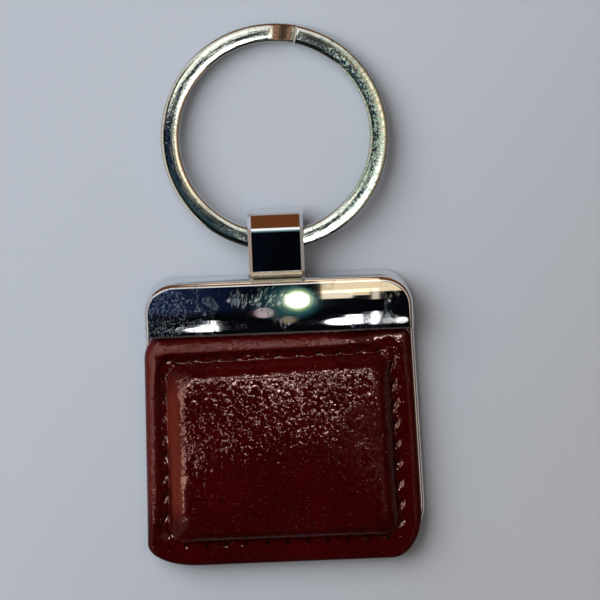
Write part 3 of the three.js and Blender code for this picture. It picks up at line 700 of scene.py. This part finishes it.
def closed_rows(rows):
    """Faces of stacked loops, closed by a fan to a middle point at each end."""
    count, around = rows.shape[:2]
    ends = [rows[0].mean(axis=0), rows[-1].mean(axis=0)]
    points = np.concatenate([rows.reshape(-1, 3), ends])
    faces = grid_faces(count, around, wrap_columns=True).tolist()
    step = np.arange(around)
    after = (step + 1) % around
    last, pole = (count - 1) * around, count * around
    faces += np.stack([step, after, np.full(around, pole)], -1).tolist()
    faces += np.stack([last + step, last + after, np.full(around, pole + 1)], -1).tolist()
    return points, faces


def foam_finish():
    """Closed-cell foam: cream, dull, with fine cells."""
    finish = Finish(bpy.data.materials.new("closed_cell_foam"))
    cell = finish.node("ShaderNodeTexVoronoi", {}, {"Vector": finish.millimetres(), "Scale": 4.0})
    tint = finish.mix(cell, FOAM_CREAM, FOAM_DARK)
    normal = finish.bump(cell, distance=0.08, strength=0.6)
    return finish.surface(Base_Color=tint, Roughness=0.95, Normal=normal)


foam_stations = np.concatenate([
    np.linspace(FOAM_FROM + FOAM_EDGE, 2.0, SLOPE_ROWS),
    np.linspace(CROWN_FROM, FOAM_END, CROWN_ROWS),
])
foam_loops = pad_loops(foam_stations)
foam_rows = np.concatenate([
    raised(pad_loops([FOAM_END]), BOARD_TOP),
    raised(pad_loops([FOAM_FROM]), BOARD_TOP),
    raised(foam_loops, leather_height(foam_stations, foam_loops) - LEATHER_THICK),
])
foam_filling = new_piece("foam_filling", *closed_rows(foam_rows), sharp=40)
foam_filling.data.materials.append(foam_finish())
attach(foam_filling, "holder")
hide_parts("foam_pad")

# Leather facing: glossy dark red grained leather, drawn over the foam, turned down round the
# board's edge and sewn through beside the raised middle, where each stitch pulls a dimple. The
# stitches at the foot are pulled less deep.
STITCH_PITCH, FOOT_EASED = 2.9, 0.75
DIMPLE_DEPTH, DIMPLE_LONG, DIMPLE_WIDE = 0.24, 0.5, 0.5
PULL_DEPTH, PULL_LONG, PULL_WIDE = 0.05, 0.95, 1.1
SWELL_HEIGHT, SWELL_SEED, SWELL_WAVES, SWELL_LONGEST, SWELL_SHORTEST = 0.02, 5, 7, 16.0, 0.35
SWELL_FROM, SKIRT_BEND = (0.05, 0.4), 0.3
SLOPE_FROM, SKIN_END, RIM_START, RIM_ROWS, INSIDE_ROWS = 1.25, 2.97, 0.02, 22, 12
SKIN_ROWS = ((RIM_AT, SLOPE_FROM, 44), (SLOPE_FROM, CROWN_FROM, 44), (CROWN_FROM, SKIN_END, 40))
HOLLOW_REACH, TURNED_FROM = 1.2, (0.2, 1.0)
DEEP_RED, WAXED_RED = (0.025, 0.0003, 0.0005, 1), (0.036, 0.0005, 0.0008, 1)
# Painted shade: the crevice colour darkens the pebbles' crevices, the stitch colour darkens the stitch
# hollows.
CREVICE_SHADE, STITCH_HOLLOW_SHADE = (0.013, 0.0002, 0.0003, 1), (0.005, 0.0008, 0.0006, 1)
# Painted light: a brown-red sheen on the left slope, and a brighter red on the top and left rims.
PAINTED_SHEEN_BROWN, RIM_LIT_RED = (0.085, 0.0115, 0.0065, 1), (0.075, 0.003, 0.003, 1)
WAX_SHINE = (1, 0.68, 0.62, 1)
PEBBLES, FINE_PEBBLES, HALF = 1.85, 4.0, (0.5, 0.5, 0.5)
# Limits in X and Y of the painted sheen on the left slope.
SHEEN_X, SHEEN_Y = ((-16.4, -15.6), (-13.4, -14.8)), ((-15, -11), (7.5, 3))
# The crumpled rims, top and left, are also where the rim is painted redder as if lit.
WORN_Y, CRUMPLED_LIT_X, CRUMPLED_LIT_Y = (-3, -14), (12, 6), (-15, -10)


def seam_share():
    """How far round the seam each point of a loop lies, in stitches, with their count and pitch."""
    loop = pad_loops([1.0])[0]
    step = np.linalg.norm(np.roll(loop, -1, axis=0) - loop, axis=1)
    length = np.concatenate([[0], np.cumsum(step)])
    stitches = round(length[-1] / STITCH_PITCH)
    return length[:-1] / length[-1] * stitches, stitches, length[-1] / stitches


def along_seam(steps):
    """Places on the seam at given counts of stitches from its start."""
    share, stitches, _ = seam_share()
    loop = pad_loops([1.0])[0]
    ring = np.concatenate([loop, loop[:1]])
    ends = np.append(share, stitches)
    return np.stack([np.interp(steps, ends, ring[:, i]) for i in (0, 1)], axis=-1)


def slow_waves(place, seed, waves, longest):
    """Sum of a few sines of chosen directions and lengths, about 1 high: an uneven, slow swell."""
    draw = np.random.default_rng(seed)
    heading, phase = draw.uniform(0, 2 * np.pi, (2, waves))
    length = longest * draw.uniform(SWELL_SHORTEST, 1.0, waves)
    across = place[..., 0, None] * np.cos(heading) + place[..., 1, None] * np.sin(heading)
    return np.sin(across * 2 * np.pi / length + phase).sum(axis=-1) / np.sqrt(waves)


def leather_rows():
    """Loops of the skin from the inside of the skirt, round its edge and over the top to the middle.
    At each stitch a narrow bell curve and a wide, shallow one pull the top down."""
    station = np.concatenate([
        RIM_AT * (1 - np.cos(np.linspace(RIM_START, np.pi / 2, RIM_ROWS))),
        *(np.linspace(low, high, rows)[1:] for low, high, rows in SKIN_ROWS),
    ])
    loops = pad_loops(station)
    share, _, pitch = seam_share()
    along = (share - np.round(share)) * pitch
    across = np.linalg.norm(loops - pad_loops([1.0]), axis=-1)
    dimple = np.exp(-((along / DIMPLE_LONG) ** 2) - (across / DIMPLE_WIDE) ** 2)
    pull = np.exp(-((along / PULL_LONG) ** 2) - (across / PULL_WIDE) ** 2)
    sunk = 1 - FOOT_EASED * ease(*FOOT_ZONE, -loops[..., 1])
    swell = slow_waves(loops, SWELL_SEED, SWELL_WAVES, SWELL_LONGEST)
    swell = SWELL_HEIGHT * swell * ease(*SWELL_FROM, station)[:, None]
    height = leather_height(station, loops) + swell
    height = height - (DIMPLE_DEPTH * dimple + PULL_DEPTH * pull) * sunk
    top = raised(loops, height)
    skirt = [
        raised(pad_loops([0.0], LEATHER_THICK - SOFT_GAP), SKIRT_LOW),
        raised(pad_loops([0.0], SKIRT_ROUND), SKIRT_LOW),
        raised(pad_loops([0.0], SKIRT_ROUND * SKIRT_BEND), SKIRT_LOW + SKIRT_ROUND * SKIRT_BEND),
        raised(pad_loops([0.0]), SKIRT_LOW + SKIRT_ROUND),
        raised(pad_loops([0.0]), (SKIRT_LOW + BOARD_TOP) / 2),
    ]
    inner_station = np.linspace(FOAM_FROM, SKIN_END, INSIDE_ROWS)
    inner_loops = pad_loops(inner_station, -SOFT_GAP)
    inner = raised(inner_loops, leather_height(inner_station, inner_loops))
    inner[..., 2] -= LEATHER_THICK - SOFT_GAP
    inside = [
        inner[::-1],
        raised(pad_loops([FOAM_FROM], -SOFT_GAP), BOARD_TOP),
        raised(pad_loops([0.0], LEATHER_THICK - SOFT_GAP), BOARD_TOP),
    ]
    return np.concatenate([*inside, *skirt, top])


def mark_skin(piece):
    """Marks each point on top of the skin from 0 to 1: how near it lies to a stitch, and how far
    outside the seam, where the skin is turned down and crumples."""
    points = np.empty(len(piece.data.vertices) * 3)
    piece.data.vertices.foreach_get("co", points)
    points = points.reshape(-1, 3) / MM
    on_top = points[:, 2] > BOARD_TOP
    holes = along_seam(np.arange(seam_share()[1]))
    near = np.linalg.norm(points[:, None, :2] - holes[None], axis=-1).min(axis=1)
    low, high = holes.min(axis=0), holes.max(axis=0)
    outside = (np.abs(points[:, :2] - (low + high) / 2) - (high - low) / 2).max(axis=1)
    marks = {"hollow": np.clip(1 - near / HOLLOW_REACH, 0, 1), "turned": ease(*TURNED_FROM, outside)}
    for name, mark in marks.items():
        piece.data.attributes.new(name, "FLOAT", "POINT").data.foreach_set("value", mark * on_top)


def leather_finish():
    """Grained leather: pebbles that each lean their own way, finer ones on them and creases between,
    dark red, waxed to a gloss, with painted shade in the pebbles' crevices. It has painted shade where
    the stitches pull it in, a painted brown-red sheen along the left slope of the raised middle, is worn
    smooth towards the foot, and on the top and left rims, where it is turned down, it crumples and is
    painted redder as if lit."""
    finish = Finish(bpy.data.materials.new("dark_red_leather"))
    place = finish.millimetres()
    x, y, _ = finish.axes(place)
    warp = finish.vector("ADD", place, finish.noise(place, scale=1.2, detail=2.0))
    smooth, cells = {"feature": "SMOOTH_F1"}, {"Vector": warp, "Scale": PEBBLES}
    pebble = finish.node("ShaderNodeTexVoronoi", smooth, cells)
    lean, middle = (finish.node("ShaderNodeTexVoronoi", {}, cells, out=i) for i in (1, 2))
    lean, arm = finish.vector("SUBTRACT", lean, HALF), finish.vector("SUBTRACT", warp, middle)
    facet = finish.vector("DOT_PRODUCT", arm, lean, out=1)
    fine = finish.node("ShaderNodeTexVoronoi", smooth, {"Vector": warp, "Scale": FINE_PEBBLES})
    cloud = finish.noise(place, scale=0.16, detail=4.0)
    crease = finish.noise(finish.millimetres((0.12, 0.8, 1)), scale=1.0, detail=2.0)
    grain = 1 - pebble - fine * 0.3 + finish.band(abs(crease - 0.5), 0, 0.03) * 0.07
    deep = finish.band(grain, 0.1, 0.5)
    marks = [{"attribute_name": name} for name in ("hollow", "turned")]
    hollow, turned = (finish.node("ShaderNodeAttribute", mark, out=2) for mark in marks)
    # The top and left rims: crumpled in relief, and painted redder there as painted light.
    crumpled_lit = turned * finish.band(x, *CRUMPLED_LIT_X) * finish.band(y, *CRUMPLED_LIT_Y)
    # Bands that place the painted sheen on the left slope.
    left, right = (finish.band(x + cloud, *limits) for limits in SHEEN_X)
    low, high = (finish.band(y, *limits) for limits in SHEEN_Y)
    tint = finish.mix(finish.band(cloud, 0.3, 0.7), DEEP_RED, WAXED_RED)
    # Painted shade in the pebbles' crevices.
    tint = finish.mix(deep * 0.6 + 0.4, CREVICE_SHADE, tint)
    # Painted shade in the stitch hollows.
    tint = finish.mix(finish.band(hollow, 0.55, 0.87), tint, STITCH_HOLLOW_SHADE)
    # Painted sheen along the left slope of the raised middle.
    tint = finish.mix(left * right * low * high, tint, PAINTED_SHEEN_BROWN)
    # Painted light: the top and left rims are made redder.
    tint = finish.mix(crumpled_lit * 0.6, tint, RIM_LIT_RED)
    worn = finish.band(y - cloud * 4, *WORN_Y)
    pressed = worn.math("MAXIMUM", worn, turned - crumpled_lit)
    relief = (grain * 0.5 + facet * 1.5) * (1 - pressed * 0.6)
    relief = relief + finish.noise(place, scale=2.0, detail=4.0, rough=0.6) * crumpled_lit * 1.8
    return finish.surface(
        Base_Color=tint,
        Roughness=0.06 - deep * 0.01,
        Normal=finish.bump(relief, distance=0.105, strength=0.9),
        Specular_IOR_Level=0.25,
        Specular_Tint=WAX_SHINE,
    )


leather_facing = new_piece("leather_facing_sewn", *closed_rows(leather_rows()), sharp=60)
mark_skin(leather_facing)
leather_facing.data.materials.append(leather_finish())
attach(leather_facing, "holder")
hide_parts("leather_facing")

# Needle and bobbin threads: waxed dark red thread, lock-stitched by machine through the leather
# and the board. The needle thread lies in the channel, the bobbin thread under the board.
NEEDLE_THREAD, THREAD_STEPS, THREAD_SIDES = 0.44, 14, 10
THREAD_TOP, THREAD_LOW, THREAD_CLIMB = 3.41, 2.8, (0.05, 0.75)
THREAD_TWIST, THREAD_RIDGE = 1.7, 0.1
THREAD_DARK, THREAD_RED = (0.012, 0.0003, 0.0005, 1), (0.03, 0.0006, 0.001, 1)


def needle_path():
    """Points along the seam at even steps, low in each hole and level between the holes."""
    _, stitches, pitch = seam_share()
    steps = np.arange(stitches * THREAD_STEPS) / THREAD_STEPS
    from_hole = np.abs(steps - np.round(steps)) * pitch
    height = THREAD_LOW + (THREAD_TOP - THREAD_LOW) * ease(*THREAD_CLIMB, from_hole)
    return np.concatenate([along_seam(steps), height[:, None]], axis=-1)


def twisted_tube(path, diameter):
    """A closed tube round a path, with the ridge of two twisted plies running round it."""
    along = np.roll(path, -1, axis=0) - np.roll(path, 1, axis=0)
    along /= np.linalg.norm(along, axis=1, keepdims=True)
    side = np.cross([0, 0, 1], along)
    side /= np.linalg.norm(side, axis=1, keepdims=True)
    up = np.cross(along, side)
    turn = np.linspace(0, 2 * np.pi, THREAD_SIDES, endpoint=False)
    step = np.linalg.norm(np.roll(path, -1, axis=0) - path, axis=1)
    lay = np.cumsum(step)[:, None] * THREAD_TWIST
    radius = diameter / 2 * (1 - THREAD_RIDGE + THREAD_RIDGE * np.cos(2 * (turn - lay)))
    ring = np.cos(turn)[None, :, None] * side[:, None] + np.sin(turn)[None, :, None] * up[:, None]
    return path[:, None] + radius[..., None] * ring


def thread_finish():
    """Waxed thread: dark red, with fine fibres and a low sheen."""
    finish = Finish(bpy.data.materials.new("waxed_thread"))
    fibre = finish.noise(finish.millimetres((3, 3, 9)), scale=2.5, detail=3.0)
    tint, rough = finish.mix(fibre, THREAD_DARK, THREAD_RED), fibre * 0.2 + 0.6
    normal = finish.bump(fibre, distance=0.03, strength=0.6)
    return finish.surface(Base_Color=tint, Roughness=rough, Normal=normal, Specular_IOR_Level=0.05)


tube = twisted_tube(needle_path(), NEEDLE_THREAD)
needle_faces = grid_faces(*tube.shape[:2], wrap_rows=True, wrap_columns=True).tolist()
needle_thread = new_piece("needle_thread_twisted", tube, needle_faces, sharp=60)
waxed_thread = thread_finish()
needle_thread.data.materials.append(waxed_thread)
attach(needle_thread, "holder")
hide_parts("needle_thread")
dress("bobbin_thread", waxed_thread)

# Table: a plain pale blue-grey sheet, matt, that the holder lies on, a hair below its back. It
# isn't part of the object.
TABLE_HALF, TABLE_LOW = 4000.0, -0.05
# The blue is the table as lit, the grey a painted falloff of light towards the lower right.
TABLE_LIT_BLUE, TABLE_SHADED_GREY = (0.465, 0.52, 0.6, 1), (0.4, 0.43, 0.475, 1)


def table_finish():
    """Plain matt sheet, bluish to the upper left and greyer to the lower right, a painted falloff of
    light.
    """
    finish = Finish(bpy.data.materials.new("pale_table"))
    x, y, _ = finish.axes(finish.millimetres())
    tint = finish.mix(finish.band(x - y * 0.7, -50, 60), TABLE_LIT_BLUE, TABLE_SHADED_GREY)
    return finish.surface(Base_Color=tint, Roughness=0.6, Specular_IOR_Level=0.2)


corners = np.array([[-1, -1, 1], [1, -1, 1], [1, 1, 1], [-1, 1, 1]], float)
table = new_piece("table", corners * [TABLE_HALF, TABLE_HALF, TABLE_LOW], [(0, 1, 2, 3)])
table.data.materials.append(table_finish())

# Light: a broad soft lamp up on the left and a weak one overhead, which no piece mirrors, bright
# cards that one piece alone mirrors, and a room that is dark overhead and pale to brown round it.
CARD_HEIGHT, CARD_STEP, CARD_AIM = 900.0, 3.0, (0.0, 20.0)
ROUND, SQUARE = "ELLIPSE", "RECTANGLE"
WATTS = 4.0  # a lamp's power over its brightness and area
ROOM_REACH = 1.6  # radians


def lamp(name, place, target, size, strength, colour, shape=SQUARE, onto=None):
    """A soft lamp of a given brightness that faces a point, for all pieces or for one alone.
    It doesn't show itself to the camera."""
    light = bpy.data.lights.new(name, "AREA")
    light.shape, light.size, light.size_y = shape, size[0], size[1]
    light.energy = WATTS * strength * size[0] * size[1] * (np.pi / 4 if shape == ROUND else 1)
    light.color = colour
    made = bpy.data.objects.new(name, light)
    bpy.context.scene.collection.objects.link(made)
    place, target = np.array(place, float), np.array(target, float)
    back = (place - target) / np.linalg.norm(place - target)
    side = np.cross([0, 1, 0], back)
    side /= np.linalg.norm(side)
    turn = np.eye(4)
    turn[:3, 0], turn[:3, 1], turn[:3, 2], turn[:3, 3] = side, np.cross(back, side), back, place
    made.matrix_world = turn.T.tolist()
    made.visible_camera = False
    if onto:
        made.light_linking.receiver_collection = bpy.data.collections.new(name + "_onto")
        made.light_linking.receiver_collection.objects.link(onto)
    return made


def mirrored_place(x, y, height):
    """Where the view, mirrored by the bar's face at a place, meets a height over the table."""
    step = 0.01
    slope = (bar_front(x, y + step) - bar_front(x, y - step)) / (2 * step)
    normal = np.array([0.0, -slope, 1.0]) / np.hypot(1, slope)
    start = np.array([x, y, bar_front(x, y)])
    ray = start - np.array(VIEW_PLACE) / MM
    ray = ray - 2 * (ray @ normal) * normal
    return start + ray * (height - start[2]) / ray[2]


def reflected_card(name, middle, size, colour, strength, shape, height):
    """A small bright card over the holder that the bar mirrors at a given place and size."""
    (x, y), (wide, tall) = middle, size
    left, right = (mirrored_place(x + side * wide / 2, y, height) for side in (-1, 1))
    low, high = (mirrored_place(x, y + side * tall / 2, height) for side in (-1, 1))
    place = np.array([(left + right)[0] / 2, (low + high)[1] / 2, height]) * MM
    spread = np.array([right[0] - left[0], high[1] - low[1]]) * MM
    lamp(name, place, place - np.array([0, 0, 1.0]), spread, strength, colour, shape, frame_casting)


def leaning_card(name, piece, lean, size, colour, strength):
    """A soft card for the gloss of one piece, at a lean to the right and far side, in degrees."""
    aim = np.array([*CARD_AIM, 0.0]) * MM
    place = aim + CARD_HEIGHT * MM * np.array([*np.tan(np.radians(lean)), 1.0])
    spread = 2 * CARD_HEIGHT * MM * np.tan(np.radians(size) / 2)
    card = lamp(name, place, aim, spread, strength, colour, ROUND, piece)
    card.visible_diffuse = False


ceiling = lamp("ceiling_lamp", (-0.62, 0.52, 0.74), (0, 0, 0), (1.1, 1.1), 3.05, (1, 1, 1))
ceiling.visible_glossy = False
fill = lamp("fill_lamp", (0.15, 0.0, 1.2), (0, 0, 0), (1.5, 1.5), 0.16, (0.95, 0.98, 1))
fill.visible_glossy = False
# Each card's name, piece, lean and size in degrees, colour and brightness.
leaning_cards = [
    ("glint_card", leather_facing, (9.5, 4), (7, 4.2), (1, 0.98, 0.95), 60.0),
    ("rim_glint_card", leather_facing, (-8, 13), (30, 3), (1, 0.98, 0.95), 60.0),
    ("side_glint_card", leather_facing, (-24, -8), (12, 24), (1, 0.9, 0.84), 7.0),
    ("sheen_card", leather_facing, (-32, 0), (24, 36), (1, 0.72, 0.62), 7.0),
    ("ring_white_card", split_ring, (8, -9.3), (15, 15.4), (1, 1, 0.98), 2.4),
    ("ring_bright_card", split_ring, (2.8, -5.6), (5.5, 6), (1, 1, 0.98), 2.0),
    ("ring_middle_card", split_ring, (3.6, -2), (6, 9), (0.8, 0.95, 0.8), 0.3),
    ("ring_tan_card", split_ring, (12, 4), (14, 10), (1, 0.8, 0.58), 0.75),
    ("ring_cream_card", split_ring, (-8, 10.2), (16, 13), (0.96, 0.96, 0.84), 1.2),
    ("ring_green_card", split_ring, (-9, -7), (14, 12), (0.4, 0.8, 0.6), 0.04),
    ("tip_card", shackle, (0, 7), (30, 8), (0.95, 1, 1), 0.9),
    ("tip_glow_card", shackle, (2, 0.5), (26, 5), (0.7, 1, 1), 0.35),
    ("tip_teal_card", shackle, (2, -4.5), (22, 5), (0.4, 0.9, 1), 0.1),
    ("foot_card", shackle, (0, -55), (60, 60), (1, 0.9, 0.7), 1.0),
]
for card in leaning_cards:
    leaning_card(*card)
# Each spot's name, place on the bar and size there, colour, brightness and shape.
bar_cards = [
    ("flash", (2.75, 17.4), (2.7, 2.1), (1, 1, 0.92), 6.0, ROUND),
    ("flash_rim", (2.75, 17.4), (3.5, 2.8), (1, 1, 0.6), 0.5, ROUND),
    ("flash_halo", (2.75, 17.4), (4.4, 3.4), (0.75, 1, 0.4), 0.16, ROUND),
    ("flash_glow", (2.5, 17.3), (5.6, 4.0), (0.4, 0.9, 0.6), 0.06, ROUND),
    ("teal_glow", (2.0, 17.2), (7.6, 4.6), (0.2, 0.8, 0.8), 0.035, ROUND),
    ("far_glow", (1.2, 17.0), (10.0, 5.2), (0.15, 0.7, 0.9), 0.018, ROUND),
    ("lilac_spot", (-2.1, 15.75), (2.6, 1.5), (0.9, 0.68, 0.66), 0.4, ROUND),
    ("tan_spot", (1.3, 14.6), (2.0, 1.1), (0.9, 0.7, 0.4), 0.2, ROUND),
    ("left_white", (-11.2, 13.65), (4.6, 0.7), (1, 1, 1), 1.5, ROUND),
    ("left_wedge", (-10.3, 13.85), (3.2, 1.1), (1, 1, 1), 1.5, ROUND),
    ("left_block", (-9.6, 14.1), (1.2, 1.6), (1, 1, 1), 1.5, SQUARE),
    ("right_white", (9.2, 14.05), (5.4, 1.1), (1, 1, 1), 1.5, ROUND),
    ("right_block", (10.7, 14.3), (2.4, 1.4), (1, 1, 1), 1.5, SQUARE),
    ("second_white", (13.7, 14.4), (1.5, 2.0), (1, 1, 1), 1.5, ROUND),
    ("grey_spot", (15.6, 13.9), (1.7, 0.9), (0.8, 0.8, 0.75), 0.4, ROUND),
    ("third_white", (17.4, 13.9), (1.8, 0.9), (1, 1, 0.97), 1.2, ROUND),
    ("wall", (12.4, 19.1), (12.4, 1.8), (1, 0.8, 0.5), 0.75, SQUARE),
    ("wall_left", (8.4, 18.0), (4.4, 1.2), (1, 0.84, 0.62), 0.75, SQUARE),
    ("wall_middle", (11.8, 18.2), (2.6, 0.9), (1, 0.8, 0.5), 0.7, SQUARE),
    ("wall_post", (13.9, 17.9), (1.0, 1.6), (1, 0.85, 0.65), 0.6, SQUARE),
    ("shoulder", (0.0, 20.08), (37.0, 0.14), (1, 0.85, 0.6), 0.7, SQUARE),
]
for step, (name, *card) in enumerate(bar_cards):
    reflected_card(name + "_card", *card, CARD_HEIGHT + CARD_STEP * step)


def room_light():
    """The room by the direction from overhead, in radians to the right (u) and to the far side (v):
    dark overhead, cream then brown on the far side, tan, copper and dark on the right, dim on the
    near side and pale on the left."""
    world = bpy.data.worlds.new("room")
    bpy.context.scene.world = world
    room = Finish(world)
    x, y, z = room.axes(room.node("ShaderNodeTexCoord"))
    reach = 2 / (z + 1.02)
    u, v = x * reach, y * reach
    dark, navy, brown = (0.0015, 0.0018, 0.003), (0.006, 0.013, 0.045, 1), (0.14, 0.045, 0.013)
    tan, pale, copper, dim = (0.8, 0.7, 0.56), (0.7, 0.66, 0.6), (0.4, 0.3, 0.24), (0.06, 0.055, 0.05)
    far = [(0.0, dark), (0.09, dark), (0.125, (0.9, 0.89, 0.86)), (0.3, (0.85, 0.82, 0.76))]
    far += [(0.36, brown), (0.86, brown), (1.0, (0.42, 0.38, 0.36))]
    right = [(0.0, dark), (0.09, dark), (0.13, tan), (0.21, tan), (0.26, (0.34, 0.19, 0.13))]
    right += [(0.42, (0.3, 0.16, 0.1)), (0.48, (0.04, 0.03, 0.025)), (0.85, (0.06, 0.05, 0.045))]
    right += [(1.0, (0.3, 0.27, 0.24))]
    near = [(0.0, dark), (0.32, dark), (0.38, dim), (0.6, dim), (0.66, (0.02, 0.018, 0.016))]
    near += [(1.0, (0.05, 0.045, 0.04))]
    left = [(0.0, dark), (0.24, dark), (0.32, pale), (0.55, pale), (0.7, copper), (1.0, copper)]
    sides = ((far, v + u * 0.3), (right, u), (near, v * -1), (left, u * -1))
    far, right, near, left = (
        room.node("ShaderNodeValToRGB", {"stops": stops}, {0: along / ROOM_REACH})
        for stops, along in sides
    )
    seen = room.mix(room.band(-1.3 * u - abs(v), -0.05, 0.15), near, left)
    seen = room.mix(room.band(u - abs(v) * 0.8, -0.04, 0.1), seen, right)
    seen = room.mix(room.band(v - abs(u) * 0.8, -0.04, 0.1), seen, far)
    overhead = room.band(u * u + v * v, 0.06, 0.02)
    seen = room.mix(room.band(u, -0.002, -0.02) * overhead, seen, navy)
    glow = room.node("ShaderNodeBackground", {}, {"Color": seen, "Strength": 1.0})
    room.node("ShaderNodeOutputWorld", {}, {"Surface": glow})


room_light()
bpy.context.scene.view_settings.view_transform = "Standard"
